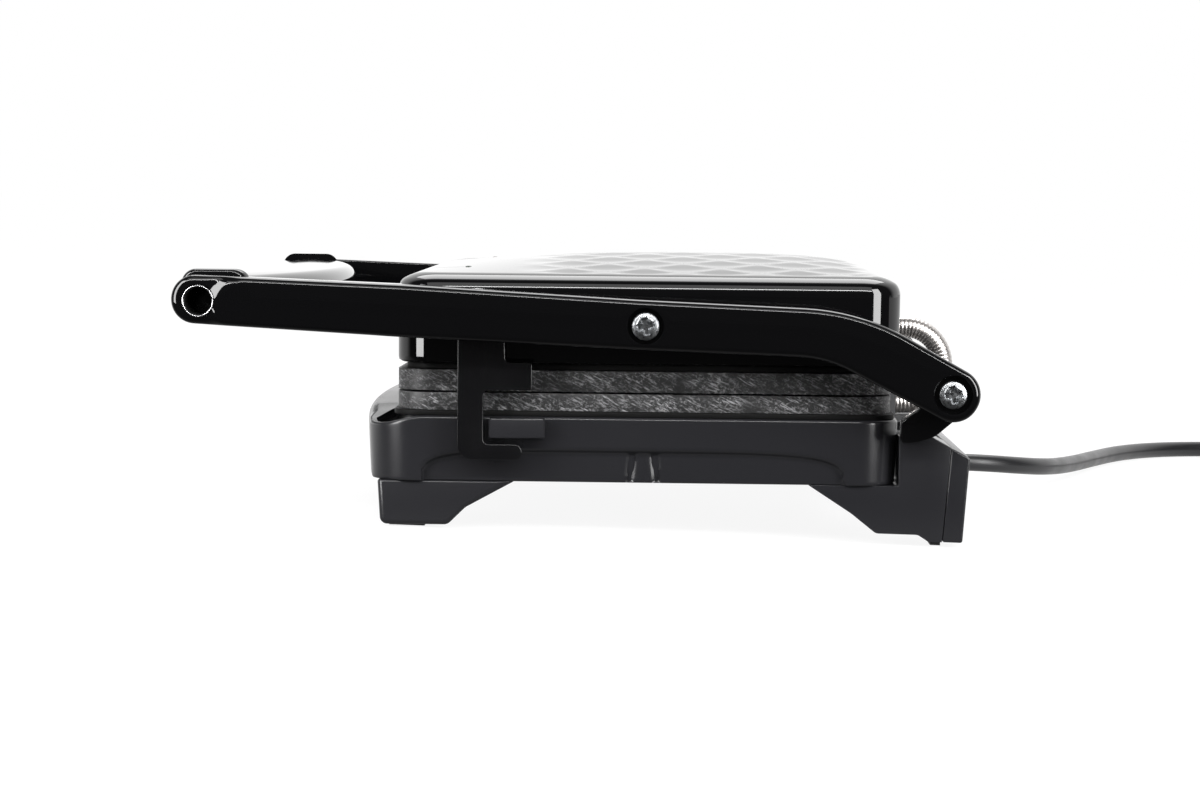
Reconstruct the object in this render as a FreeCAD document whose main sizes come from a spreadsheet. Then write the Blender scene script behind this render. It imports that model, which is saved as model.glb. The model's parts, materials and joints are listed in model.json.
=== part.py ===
import FreeCAD, Part
import math
import os

import Sketcher

# A two-plate contact grill (panini press). Millimetres, +Z up, +Y towards the hinge, -Y towards the grip.
# Everything but the cord is drawn in the machine's own level frame, in which the cooking plates are
# horizontal. One shared Placement, LEAN, then tips the machine forward so that its feet meet the table
# at Z = 0 and fat runs off the front of the plates.

V = FreeCAD.Vector
DOC = FreeCAD.newDocument("panini_press")
SHEET = DOC.addObject("Spreadsheet::Sheet", "Sizes")

SIZES = {
    "lean_angle": 1.46,
    # table line in the level frame: its height at the front pads
    "pad_line": 0.4,
    "front_pad_y": -93.0,
    # cast cooking plates
    "plate_halfx": 118.0,
    "plate_front": -96.2,
    "plate_rear": 70.8,
    "plate_corner": 12.0,
    "lower_plate_low": 40.0,
    "lower_plate_top": 45.8,
    "upper_plate_low": 46.5,
    "upper_plate_top": 53.4,
    "plate_rim": 4.5,
    "plate_recess": 2.6,
    "rib_width": 3.2,
    "rib_high": 2.0,
    "rib_pitch": 9.6,
    "rib_count": 23,
    # base housing
    "base_halfx": 121.0,
    "base_front": -104.0,
    "base_bow": 9.0,
    "base_rear": 73.2,
    "base_low": 16.0,
    "base_top": 38.0,
    "base_wall": 2.6,
    "base_corner": 14.0,
    "panel_sink": 0.9,
    "panel_top": 26.4,
    "lip_inner": -97.0,
    "lip_outer": -118.0,
    "lip_fall": 7.9,
    "bottom_thick": 1.5,
    "post_x": 70.0,
    "post_front": -40.0,
    "post_rear": 30.0,
    # feet and rear legs
    "foot_inner": 84.0,
    "foot_wide": 34.5,
    "foot_sole": 1.0,
    "foot_wall": 2.9,
    "leg_inner": 90.0,
    "leg_wide": 28.6,
    "leg_wall": 2.8,
    "leg_tip": -2.7,
    "pad_wide": 20.0,
    "ear_inner": 118.6,
    "ear_wide": 8.9,
    # latch keeper on the side of the base
    "keeper_front": -64.2,
    "keeper_rear": -45.5,
    "keeper_low": 31.2,
    "keeper_high": 6.7,
    # upper cover
    "cover_halfx": 120.0,
    "cover_front": -96.4,
    "cover_rear": 73.6,
    "cover_low": 55.7,
    "cover_edge": 83.4,
    "cover_crest": 92.6,
    "cover_wall": 2.6,
    "cover_corner": 14.0,
    "lens_x": 74.0,
    "lens_y": -75.0,
    "lens_z": 81.0,
    "lens_radius": 1.2,
    # handle
    "arm_inner": 129.0,
    "arm_thick": 13.0,
    "arm_chamfer": 1.3,
    "nose_radius": 8.1,
    "nose_y": -160.4,
    "nose_z": 77.0,
    "grip_low": 68.6,
    "grip_top": 86.4,
    "grip_front": -167.0,
    "grip_round": 6.0,
    "tube_radius": 5.25,
    "tube_bore": 4.75,
    "tube_y": -159.3,
    "tube_z": 76.5,
    # pivots
    "hinge_y": 89.0,
    "hinge_z": 48.3,
    "boss_radius": 8.9,
    "tilt_y": -12.0,
    "tilt_z": 69.7,
    "head_radius": 4.6,
    "head_high": 2.6,
    "shank_radius": 2.5,
    "bush_radius": 3.5,
    "recess_deep": 3.4,
    "front_recess": 5.9,
    "rear_recess": 6.3,
    # latch
    "latch_inner": 124.6,
    "latch_thick": 2.8,
    "latch_y": -67.0,
    "latch_z": 73.0,
    # flexible steel hose between base and cover
    "hose_x": 70.0,
    "hose_radius": 3.6,
    "hose_bend": 13.35,
    "hose_start": 74.8,
    "hose_centre_y": 78.0,
    "hose_centre_z": 54.15,
    # mains cord
    "cord_radius": 3.5,
    "coil_radius": 40.0,
    "coil_x": -260.0,
    "coil_y": 340.0,
    # where the cord leaves the rear left leg
    "gland_x": -104.0,
    "gland_z": 4.6,
    "gland_hole": 5.2,
}

for row, (alias, number) in enumerate(SIZES.items(), start=1):
    SHEET.set(f"A{row}", alias)
    SHEET.set(f"B{row}", str(number))
    SHEET.setAlias(f"B{row}", alias)
DOC.recompute()


def size(alias):
    """A driving dimension, read from the sheet."""
    return float(SHEET.get(alias))


def leaning():
    """The shared Placement: tipped about X, centred in Y and set down on the table."""
    angle = math.radians(size("lean_angle"))
    cos, sin = math.cos(angle), math.sin(angle)
    foremost = size("nose_y") * cos - size("nose_z") * sin - size("nose_radius")
    rearmost = size("hinge_y") * cos - size("hinge_z") * sin + size("boss_radius")
    table = size("front_pad_y") * sin + size("pad_line") * cos
    shift = V(0, -(foremost + rearmost) / 2, -table)
    return FreeCAD.Placement(shift, FreeCAD.Rotation(V(1, 0, 0), size("lean_angle")))


LEAN = leaning()
NODES = []


def table_line(y):
    """The table's height in the level frame, which falls towards the rear."""
    return size("pad_line") - (y - size("front_pad_y")) * math.tan(math.radians(size("lean_angle")))


def node(feature, label):
    """Marks a feature as one sub-part, whose label names its file."""
    feature.Label = label
    NODES.append(feature)
    return feature


def placed(feature, x=0.0, y=0.0, z=0.0):
    """Puts a feature at a place in the level frame."""
    feature.Placement = LEAN.multiply(FreeCAD.Placement(V(x, y, z), FreeCAD.Rotation()))
    return feature


def new_body(name):
    """An empty PartDesign body."""
    return placed(DOC.addObject("PartDesign::Body", name))


def sketch_on(body, role, offset):
    """An empty sketch parallel to an origin plane of its body. The offset is an expression."""
    sketch = body.newObject("Sketcher::SketchObject", body.Name + "_sketch")
    plane = next(item for item in body.Origin.OriginFeatures if item.Role == role)
    sketch.AttachmentSupport = (plane, [""])
    sketch.MapMode = "FlatFace"
    sketch.setExpression("AttachmentOffset.Base.z", offset)
    return sketch


def rounded(corners, closed=True):
    """Lines and tangent arcs through corners, each (x, y) or (x, y, radius)."""
    points = [V(c[0], c[1], 0) for c in corners]
    radii = [c[2] if len(c) > 2 else 0 for c in corners]
    edges, first, last = [], None, None
    for i, corner in enumerate(points):
        open_end = not closed and i in (0, len(points) - 1)
        if radii[i] and not open_end:
            back = (points[i - 1] - corner).normalize()
            ahead = (points[(i + 1) % len(points)] - corner).normalize()
            half = back.getAngle(ahead) / 2
            reach = radii[i] / math.tan(half)
            middle = corner + (back + ahead).normalize() * (radii[i] / math.sin(half) - radii[i])
            start, end = corner + back * reach, corner + ahead * reach
            arc = Part.Arc(start, middle, end)
        else:
            start = end = corner
            arc = None
        if last is not None and (start - last).Length > 1e-6:
            edges.append(Part.LineSegment(last, start))
        if arc:
            edges.append(arc)
        first = start if first is None else first
        last = end
    if closed and (first - last).Length > 1e-6:
        edges.append(Part.LineSegment(last, first))
    return edges


def pad(body, role, offset, edges, length):
    """A pad of the edges, from the offset and along the plane's normal. Both are expressions."""
    sketch = sketch_on(body, role, offset)
    sketch.addGeometry(edges, False)
    feature = body.newObject("PartDesign::Pad", body.Name + "_pad")
    feature.Profile = sketch
    feature.Reversed = role == "XZ_Plane"
    feature.setExpression("Length", length)
    sketch.Visibility = False
    return feature


def pocket(body, role, offset, edges, length, forwards=False):
    """A pocket against the plane's normal, or along it if forwards, that has to remove something."""
    DOC.recompute()
    before = body.Shape.Volume
    sketch = sketch_on(body, role, offset)
    sketch.addGeometry(edges, False)
    feature = body.newObject("PartDesign::Pocket", body.Name + "_pocket")
    feature.Profile = sketch
    feature.Reversed = forwards
    feature.setExpression("Length", length)
    DOC.recompute()
    if not body.Shape.Volume < before - 1e-3:
        raise RuntimeError(f"{body.Name}: a pocket removes nothing")
    return feature


def dress(body, kind, test, amount):
    """A fillet or chamfer on the edges of a body whose middle passes the test."""
    DOC.recompute()
    tip = body.Tip
    names = []
    for number, edge in enumerate(tip.Shape.Edges, start=1):
        middle = edge.valueAt((edge.FirstParameter + edge.LastParameter) / 2)
        if test(edge, middle):
            names.append(f"Edge{number}")
    feature = body.newObject("PartDesign::" + kind, body.Name + "_" + kind.lower())
    feature.Base = (tip, names)
    if kind == "Fillet":
        feature.Radius = amount
    else:
        feature.Size = amount
    return feature


def upright(edge, middle):
    """Whether an edge runs along Z."""
    return abs(edge.tangentAt(edge.FirstParameter).z) > 0.99 and edge.Curve.TypeId == "Part::GeomLine"


def tangent_corner(x, y, radius, first, second):
    """The corner of two lines that touch a circle, where its normals point at two angles in degrees."""
    middle, half = math.radians((first + second) / 2), math.radians((second - first) / 2)
    far = radius / math.cos(half)
    return x + far * math.cos(middle), y + far * math.sin(middle), 0.97 * radius


def circle(x, y, radius):
    """A full circle, as one edge."""
    return [Part.Circle(V(x, y, 0), V(0, 0, 1), radius)]


def box_outline(x0, y0, x1, y1, radius=0.0):
    """A rectangle between two corners, with round corners if a radius is given."""
    return rounded([(x0, y0, radius), (x1, y0, radius), (x1, y1, radius), (x0, y1, radius)])


def mirrored(source, label):
    """The same piece on the other side of the machine."""
    twin = DOC.addObject("Part::Mirroring", label)
    twin.Source = source
    twin.Normal = V(1, 0, 0)
    return node(twin, label)


def both_sides(source, label):
    """One node that holds a piece and its mirror image."""
    twin = DOC.addObject("Part::Mirroring", label + "_twin")
    twin.Source = source
    twin.Normal = V(1, 0, 0)
    return together([source, twin], label)


def together(pieces, label):
    """A compound of several pieces that is one node."""
    group = DOC.addObject("Part::Compound", label)
    group.Links = pieces
    return node(group, label)


def cylinder(name, radius, height, x, y, z, direction):
    """A Part::Cylinder with bound radius and height, from a point of the level frame."""
    rod = DOC.addObject("Part::Cylinder", name)
    rod.setExpression("Radius", radius)
    rod.setExpression("Height", height)
    turn = FreeCAD.Rotation(V(0, 0, 1), direction)
    rod.Placement = LEAN.multiply(FreeCAD.Placement(V(x, y, z), turn))
    return rod


def pipe(edges, radius):
    """A round solid along a chain of tangent edges."""
    wire = Part.Wire(Part.__sortEdges__([e.toShape() if hasattr(e, "toShape") else e for e in edges]))
    start = wire.OrderedVertexes[0].Point
    first = wire.OrderedEdges[0]
    near = (first.valueAt(first.FirstParameter) - start).Length < 1e-6
    heading = first.tangentAt(first.FirstParameter if near else first.LastParameter)
    ring = Part.Wire(Part.makeCircle(radius, start, heading if near else heading * -1))
    return wire.makePipeShell([ring], True, False)


# ---------------------------------------------------------------- base

def base_shell():
    """A wall all round, bowed at the front, with a sloping front lip and a sunk panel on each side."""
    half, front, rear = size("base_halfx"), size("base_front"), size("base_rear")
    low, top, wall = size("base_low"), size("base_top"), size("base_wall")
    body = new_body("base_shell")
    bow = Part.Arc(V(-half, front, 0), V(0, front - size("base_bow"), 0), V(half, front, 0))
    sides = [
        Part.LineSegment(V(half, front, 0), V(half, rear, 0)),
        Part.LineSegment(V(half, rear, 0), V(-half, rear, 0)),
        Part.LineSegment(V(-half, rear, 0), V(-half, front, 0)),
    ]
    pad(body, "XY_Plane", "Sizes.base_low", [bow] + sides, "Sizes.base_top - Sizes.base_low")
    dress(body, "Fillet", upright, size("base_corner"))
    inner, outer, above = size("lip_inner"), size("lip_outer"), top + 1
    lip = rounded([(inner, above), (inner, top), (outer, top - size("lip_fall")), (outer, above)])
    pocket(body, "YZ_Plane", "-Sizes.base_halfx", lip, "2 * Sizes.base_halfx", forwards=True)
    edge = size("panel_top")
    panel = rounded([
        (front + 16, low - 1), (front + 30, edge, 12), (rear - 36, edge, 14), (rear - 19, low - 1),
    ])
    pocket(body, "YZ_Plane", "Sizes.base_halfx", panel, "Sizes.panel_sink")
    pocket(body, "YZ_Plane", "-Sizes.base_halfx", panel, "Sizes.panel_sink", forwards=True)
    inside = box_outline(wall - half, front + 2 * wall, half - wall, rear - wall, size("base_corner") - wall)
    pocket(body, "XY_Plane", "Sizes.base_top", inside, "Sizes.base_top - Sizes.base_low")
    slot_wide, slot_deep = 2.4, "0.5"
    for y in (-17.7, -9.7):
        for side in (1, -1):
            slot = box_outline(y, low, y + slot_wide, edge - 0.4)
            start = f"{side} * (Sizes.base_halfx - Sizes.panel_sink)"
            pocket(body, "YZ_Plane", start, slot, slot_deep, forwards=side < 0)
    return node(body, "base_shell")


def post_places():
    """Where the four posts and their screws stand, as (x, y)."""
    across = (-size("post_x"), size("post_x"))
    return [(x, y) for y in (size("post_front"), size("post_rear")) for x in across]


def bottom_cover():
    """A sheet under the base, with vent slots and four screw holes."""
    half, wall, play = size("base_halfx"), size("base_wall"), 0.15
    edge = wall + play
    body = new_body("bottom_cover")
    outline = box_outline(
        edge - half, size("base_front") + 2 * wall + play, half - edge, size("base_rear") - edge,
        size("base_corner") - edge,
    )
    pad(body, "XY_Plane", "Sizes.base_low", outline, "Sizes.bottom_thick")
    top = "Sizes.base_low + Sizes.bottom_thick"
    slot_half, slot_wide, pitch, first = 32, 3, 9, -46
    for row in range(5):
        y = first + row * pitch
        slot = box_outline(-slot_half, y, slot_half, y + slot_wide, 0.45 * slot_wide)
        pocket(body, "XY_Plane", top, slot, "Sizes.bottom_thick")
    for x, y in post_places():
        pocket(body, "XY_Plane", top, circle(x, y, 1.8), "Sizes.bottom_thick")
    return node(body, "bottom_cover")


def small_screw(name, head, head_high, shank, length):
    """A round-headed screw along +Z, with a cross recess, its seat at Z = 0 and its head below."""
    body = new_body(name)
    profile = [
        (0, length), (shank, length), (shank, 0), (head, 0),
        (head, -head_high * 0.45), (head * 0.62, -head_high), (0, -head_high),
    ]
    sketch = sketch_on(body, "XZ_Plane", "0")
    sketch.addGeometry(rounded(profile), False)
    turn = body.newObject("PartDesign::Revolution", name + "_turn")
    turn.Profile = sketch
    turn.ReferenceAxis = (sketch, ["V_Axis"])
    turn.Angle = 360
    arm, width = head * 0.55, head * 0.13
    cross = rounded([
        (-arm, -width), (-width, -width), (-width, -arm), (width, -arm), (width, -width), (arm, -width),
        (arm, width), (width, width), (width, arm), (-width, arm), (-width, width), (-arm, width),
    ])
    pocket(body, "XY_Plane", f"{-head_high}", cross, f"{head_high * 0.6}", forwards=True)
    return body


def bottom_screws():
    """The four screws that hold the bottom cover, as one node."""
    pieces = []
    for number, (x, y) in enumerate(post_places()):
        screw = small_screw(f"bottom_screw_{number}", 3.2, 1.6, 1.6, 8)
        pieces.append(placed(screw, x, y, size("base_low")))
    return together(pieces, "bottom_screws")


def bottom_posts():
    """Hollow posts that carry the lower reflector and take the bottom screws."""
    foot = "Sizes.base_low + Sizes.bottom_thick"
    pieces = []
    for number, (x, y) in enumerate(post_places()):
        body = new_body(f"bottom_post_{number}")
        pad(body, "XY_Plane", foot, circle(x, y, 4), "12.4")
        pocket(body, "XY_Plane", foot, circle(x, y, 1.65), "8", True)
        pieces.append(body)
    return together(pieces, "bottom_posts")


def front_foot():
    """A hollow foot, steep at the front and sloping up to the base behind."""
    low, sole, wall = size("base_low"), size("foot_sole"), size("foot_wall")
    toe, heel, front = -101.3, -78.5, -102.3
    body = new_body("front_foot_right")
    outline = rounded([
        (front, low), (toe, sole, 2.5), (heel, sole, 3), (heel + 6, sole + 5.9, 5), (heel + 22.5, low),
    ])
    pad(body, "YZ_Plane", "Sizes.foot_inner", outline, "Sizes.foot_wide")
    inside = rounded([
        (front + wall, low), (toe + wall, sole + wall, 1), (heel - 1, sole + wall, 1),
        (heel + 4, sole + wall + 4.7, 1), (heel + 15.5, low),
    ])
    pocket(body, "YZ_Plane", "Sizes.foot_inner + 3", inside, "Sizes.foot_wide - 6", forwards=True)
    dress(body, "Fillet", lambda e, m: abs(m.y - front - 0.5) < 0.5 and sole + 2 < m.z < low - 1, 2.0)
    right = node(body, "front_foot_right")
    return right, mirrored(right, "front_foot_left")


def rear_leg():
    """The leg runs from under the base up behind its rear wall."""
    low, rear, tip = size("base_low"), size("base_rear") + 0.1, size("leg_tip")
    back, shoulder = 88.0, 32.7
    body = new_body("rear_leg_right")
    outline = rounded([
        (43, low), (57.5, 6.6, 20), (65.8, 0.0, 3), (79.9, -0.3, 3), (83.6, tip, 1.2),
        (back, tip), (back + 2.6, 29.2), (84.2, shoulder, 1.5), (rear, shoulder), (rear, low),
    ])
    pad(body, "YZ_Plane", "Sizes.leg_inner", outline, "Sizes.leg_wide")
    roof, inner_low = shoulder - 3.7, low - 2.5
    inside = rounded([
        (57, inner_low, 1), (68.5, 3, 1), (81.5, 2.6, 1), (back - 2.7, 3, 1), (back - 0.7, 26.6, 1),
        (83.6, roof, 1), (rear + 3, roof, 1), (rear + 3, inner_low, 1),
    ])
    pocket(body, "YZ_Plane", "Sizes.leg_inner", inside, "Sizes.leg_wide - Sizes.leg_wall", forwards=True)
    right = node(body, "rear_leg_right")
    twin = DOC.addObject("Part::Mirroring", "rear_leg_twin")
    twin.Source = right
    twin.Normal = V(1, 0, 0)
    left = DOC.addObject("Part::Cut", "rear_leg_left")
    left.Base = twin
    left.Tool = cylinder(
        "gland_bore", "Sizes.gland_hole", "10", size("gland_x"), back - 6, size("gland_z"), V(0, 1, 0)
    )
    return right, node(left, "rear_leg_left")


def rear_panel():
    """A stand plate across the back, with an arch in its lower edge and a hole for the cord."""
    half, tip = size("leg_inner") + size("leg_wide"), size("leg_tip")
    body = new_body("rear_panel")
    outline = rounded([
        (88.15, tip), (94.9, tip - 0.2, 0.8), (97.0, 25.8, 0.8), (90.75, 29.1),
    ])
    pad(body, "YZ_Plane", f"-{half}", outline, f"{2 * half}")
    arch_half, arch_top, below = 62, 12, tip - 2.3
    arch = rounded([
        (-arch_half, below), (-arch_half, arch_top, 9), (arch_half, arch_top, 9), (arch_half, below),
    ])
    pocket(body, "XZ_Plane", "-80", arch, "30", forwards=False)
    hole = circle(size("gland_x"), size("gland_z"), size("gland_hole"))
    pocket(body, "XZ_Plane", "-80", hole, "30", forwards=False)
    return node(body, "rear_panel")


def rubber_pad(name, front, rear, top):
    """A pad under the right side, cut to the table line so that it stands flat."""
    body = new_body(name)
    outline = rounded([(front, table_line(front)), (rear, table_line(rear)), (rear, top), (front, top)])
    middle = "(Sizes.leg_inner + Sizes.ear_inner) / 2"
    pad(body, "YZ_Plane", f"{middle} - Sizes.pad_wide / 2", outline, "Sizes.pad_wide")
    return both_sides(body, name + "s")


def pads():
    """The front and the rear pads, each pair as one node."""
    rubber_pad("front_pad", -98.5, -86.5, size("foot_sole"))
    rubber_pad("rear_pad", 84.4, 87.8, size("leg_tip"))


def hinge_ear():
    """A bracket on each side of the base's rear corner that the handle turns on."""
    y, z = size("hinge_y"), size("hinge_z")
    rear = size("base_rear") + 0.1
    body = new_body("hinge_ear_right")
    outline = rounded([
        (rear, 33.0), (rear, 31.3, 0.8), (77.7, 31.3, 12), (84, 33.2, 12), (97.2, 44.5, 7), (96, 56.6, 7.5),
        (83, 55.4, 7), (80.2, 43, 9), (rear, 38.6, 1.0),
    ])
    pad(body, "YZ_Plane", "Sizes.ear_inner", outline, "Sizes.ear_wide")
    hole = circle(y, z, size("shank_radius") + 0.03)
    pocket(body, "YZ_Plane", "Sizes.ear_inner", hole, "Sizes.ear_wide", forwards=True)
    right = node(body, "hinge_ear_right")
    return right, mirrored(right, "hinge_ear_left")


def latch_keeper():
    """The lug on the side of the base that the latch hooks under, with a ramp behind its flat face."""
    root = size("base_halfx") + 0.02
    face = root + 6
    front, rear = size("keeper_front"), size("keeper_rear")
    body = new_body("latch_keeper")
    outline = rounded([
        (root, front), (face, front, 0.5), (face, front + 8.7), (root + 1.2, rear), (root, rear),
    ])
    pad(body, "XY_Plane", "Sizes.keeper_low", outline, "Sizes.keeper_high")
    return node(body, "latch_keeper")


def cooking_plate(name, low, top, face_up):
    """A cast plate with a rim, a recessed face and ribs from front to back."""
    half, front, rear = size("plate_halfx"), size("plate_front"), size("plate_rear")
    rim, corner = size("plate_rim"), size("plate_corner")
    body = new_body(name)
    outline = box_outline(-half, front, half, rear, corner)
    pad(body, "XY_Plane", f"Sizes.{low}", outline, f"Sizes.{top} - Sizes.{low}")
    face = f"Sizes.{top}" if face_up else f"Sizes.{low}"
    inside = box_outline(rim - half, front + rim, half - rim, rear - rim, corner - rim)
    pocket(body, "XY_Plane", face, inside, "Sizes.plate_recess", forwards=not face_up)
    if face_up:
        floor = f"Sizes.{top} - Sizes.plate_recess"
    else:
        floor = f"Sizes.{low} + Sizes.plate_recess - Sizes.rib_high"
    first = -(size("rib_count") - 1) * size("rib_pitch") / 2
    wide = size("rib_width") / 2
    rib = pad(
        body, "XY_Plane", floor, box_outline(first - wide, front + 10, first + wide, rear - 10, wide * 0.9),
        "Sizes.rib_high",
    )
    DOC.recompute()
    rows = body.newObject("PartDesign::LinearPattern", name + "_ribs")
    rows.Originals = [rib]
    rows.Direction = (rib.Profile[0], ["H_Axis"])
    rows.setExpression("Length", "(Sizes.rib_count - 1) * Sizes.rib_pitch")
    rows.setExpression("Occurrences", "Sizes.rib_count")
    body.Tip = rows
    if face_up:
        drain = rounded([(-14, front - 1), (14, front - 1), (9, front + rim + 1), (-9, front + rim + 1)])
        pocket(body, "XY_Plane", face, drain, "Sizes.plate_recess")
    return node(body, name)


def seat_ring(name, below, above, inset):
    """The dark frame between a cooking plate and its housing, from one level of the sheet to another."""
    half, front, rear = size("plate_halfx"), size("plate_front"), size("plate_rear")
    play, wide = 0.05, 9
    low = f"Sizes.{below} + {play}"
    height = f"Sizes.{above} - Sizes.{below} - {2 * play}"
    body = new_body(name)
    outer = box_outline(inset - half, front + inset, half - inset, rear - inset, wide)
    pad(body, "XY_Plane", low, outer, height)
    inner = box_outline(
        inset + wide - half, front + inset + wide, half - inset - wide, rear - inset - wide, 5
    )
    pocket(body, "XY_Plane", f"{low} + {height}", inner, height)
    return node(body, name)


def element(name, z):
    """A sheathed heating element bent into a double loop, with cold ends towards the rear."""
    turns = rounded([
        (-30, 50), (-30, 20, 12), (-88, 20, 12), (-88, -72, 18), (88, -72, 18), (88, 20, 12),
        (30, 20, 12), (30, 50),
    ], closed=False)
    path = [edge.toShape() for edge in turns]
    solid = pipe(path, 3.1)
    feature = DOC.addObject("Part::Feature", name)
    feature.Shape = solid
    placed(feature, 0, 0, z)
    return node(feature, name)


def reflector(name, low, depth, opens_up):
    """A folded sheet tray that throws the element's heat back at the plate."""
    body = new_body(name)
    pad(body, "XY_Plane", low, box_outline(-102, -80, 102, 56, 6), depth)
    mouth = f"{low} + {depth}" if opens_up else low
    inside = box_outline(-101.3, -79.3, 101.3, 55.3, 5.3)
    pocket(body, "XY_Plane", mouth, inside, f"{depth} - 0.7", not opens_up)
    for x in (-30, 30):
        pocket(body, "XY_Plane", f"{low} + {depth}", circle(x, 50, 4.5), depth)
    return node(body, name)


def thermostat():
    """A snap disc thermostat under the lower plate: can, ceramic head and two tabs."""
    pieces = [
        cylinder("thermostat_can", "8.2", "4.5", 0, -25, 35.4, V(0, 0, 1)),
        cylinder("thermostat_head", "6.4", "2.5", 0, -25, 32.9, V(0, 0, 1)),
    ]
    fuse = DOC.addObject("Part::MultiFuse", "thermostat")
    fuse.Shapes = pieces
    return node(fuse, "thermostat")


def thermal_fuse():
    """The one-shot fuse beside the thermostat, with its two leads."""
    body = new_body("thermal_fuse")
    sketch = sketch_on(body, "XY_Plane", "36.4")
    axis, lead, can = -10, -9, -8
    sketch.addGeometry(rounded([
        (30, axis), (30, lead), (42, lead), (43.5, can), (58, can), (58, lead), (70, lead), (70, axis),
    ]), False)
    turn = body.newObject("PartDesign::Revolution", "thermal_fuse_turn")
    sketch.addGeometry(Part.LineSegment(V(0, -10, 0), V(1, -10, 0)), True)
    turn.Profile = sketch
    turn.ReferenceAxis = (sketch, ["Axis0"])
    turn.Angle = 360
    return node(body, "thermal_fuse")


def terminal_block():
    """The ceramic block where the mains cord's cores are joined to the wiring."""
    body = new_body("terminal_block")
    pad(body, "XY_Plane", "Sizes.base_low + Sizes.bottom_thick + 0.1", box_outline(-62, 40, -34, 56, 1), "9")
    for x in (-57, -48, -39):
        top = "Sizes.base_low + Sizes.bottom_thick + 9.1"
        pocket(body, "XY_Plane", top, circle(x, 48, 2.4), "5")
    return node(body, "terminal_block")


def base_collar():
    """The block behind the lower plate that holds the hose, with a shelf under it."""
    x, rear, face = size("hose_x"), size("base_rear") + 0.1, size("hose_start") - 0.1
    shelf, width = 34.6, 14.0
    body = new_body("base_collar")
    outline = rounded([
        (rear, shelf), (81.6, shelf, 0.6), (81.6, 36.9), (face, 36.9), (face, 45.4, 0.8),
        (face - 2.7, 45.4, 0.8), (face - 2.7, 38.1), (rear, 38.1),
    ])
    pad(body, "YZ_Plane", f"{x - width / 2}", outline, f"{width}")
    return node(body, "base_collar")


# ---------------------------------------------------------------- hose

def hose_half(name, start, end, straight):
    """Part of the C-shaped hose, from one angle of its bend to another, in degrees."""
    centre = V(size("hose_x"), size("hose_centre_y"), size("hose_centre_z"))
    bend, gap = size("hose_bend"), size("hose_start")

    def at(degrees):
        turn = math.radians(degrees)
        return centre + V(0, bend * math.cos(turn), bend * math.sin(turn))

    arc = Part.Arc(at(start), at((start + end) / 2), at(end)).toShape()
    foot = at(straight)
    stub = Part.LineSegment(V(foot.x, gap, foot.z), foot).toShape()
    feature = DOC.addObject("Part::Feature", name)
    feature.Shape = pipe([stub, arc], size("hose_radius"))
    placed(feature)
    return node(feature, name)


# ---------------------------------------------------------------- handle

def arm():
    """A flat bar that runs from the grip, past the cover's pivot, and drops to the rear hinge."""
    hy, hz, boss = size("hinge_y"), size("hinge_z"), size("boss_radius")
    ny, nz, nose = size("nose_y"), size("nose_z"), size("nose_radius")
    body = new_body("arm_right")
    outline = rounded([
        tangent_corner(ny, nz, nose, 88.8, 177.7), (-92.5, 82.6, 300), (-13.8, 78.4, 300), (58.1, 75.6, 75),
        tangent_corner(hy, hz, boss, 61.0, -28.2), tangent_corner(hy, hz, boss, -28.2, -117.4),
        (47.1, 60.0, 40), (-13.8, 62.0, 300), (-92.5, 65.3, 300), tangent_corner(ny, nz, nose, 177.7, 266.7),
    ])
    pad(body, "YZ_Plane", "Sizes.arm_inner", outline, "Sizes.arm_thick")
    outer = size("arm_inner") + size("arm_thick")
    dress(body, "Chamfer", lambda edge, middle: abs(middle.x - outer) < 1e-3, size("arm_chamfer"))
    face = "Sizes.arm_inner + Sizes.arm_thick"
    through = "Sizes.arm_thick"
    running = size("bush_radius") + 0.08
    bore = circle(size("tube_y"), size("tube_z"), size("tube_radius") + 0.05)
    pocket(body, "YZ_Plane", face, bore, through)
    for y, z, recess in (
        (size("tilt_y"), size("tilt_z"), size("front_recess")),
        (hy, hz, size("rear_recess")),
    ):
        pocket(body, "YZ_Plane", face, circle(y, z, recess), "Sizes.recess_deep")
        pocket(body, "YZ_Plane", face, circle(y, z, running), through)
    pocket(body, "YZ_Plane", "Sizes.arm_inner", circle(size("latch_y"), size("latch_z"), 1.55), "7", True)
    right = node(body, "arm_right")
    return right, mirrored(right, "arm_left")


def grip():
    """The wide bar across the front, straight at the front and bowed towards the cover."""
    inner = size("arm_inner") - 0.1
    front, corner, middle = size("grip_front"), -145, -125
    body = new_body("grip")
    edges = [
        Part.LineSegment(V(-inner, front, 0), V(inner, front, 0)),
        Part.LineSegment(V(inner, front, 0), V(inner, corner, 0)),
        Part.Arc(V(inner, corner, 0), V(0, middle, 0), V(-inner, corner, 0)),
        Part.LineSegment(V(-inner, corner, 0), V(-inner, front, 0)),
    ]
    pad(body, "XY_Plane", "Sizes.grip_low", edges, "Sizes.grip_top - Sizes.grip_low")
    dress(body, "Fillet", lambda e, m: abs(m.x) < 1 and not upright(e, m), size("grip_round"))
    bore = circle(size("tube_y"), size("tube_z"), size("tube_radius") + 0.05)
    pocket(body, "YZ_Plane", "-Sizes.arm_inner", bore, "2 * Sizes.arm_inner", forwards=True)
    return node(body, "grip")


def grip_tube():
    """The steel tube through both arms and the grip, open at its ends."""
    half = size("arm_inner") + size("arm_thick") - 0.6
    start = (-half, size("tube_y"), size("tube_z"))
    outer = cylinder("grip_tube_outer", "Sizes.tube_radius", f"{2 * half}", *start, V(1, 0, 0))
    inner = cylinder("grip_tube_inner", "Sizes.tube_bore", f"{2 * half}", *start, V(1, 0, 0))
    tube = DOC.addObject("Part::Cut", "grip_tube")
    tube.Base, tube.Tool = outer, inner
    return node(tube, "grip_tube")


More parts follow.
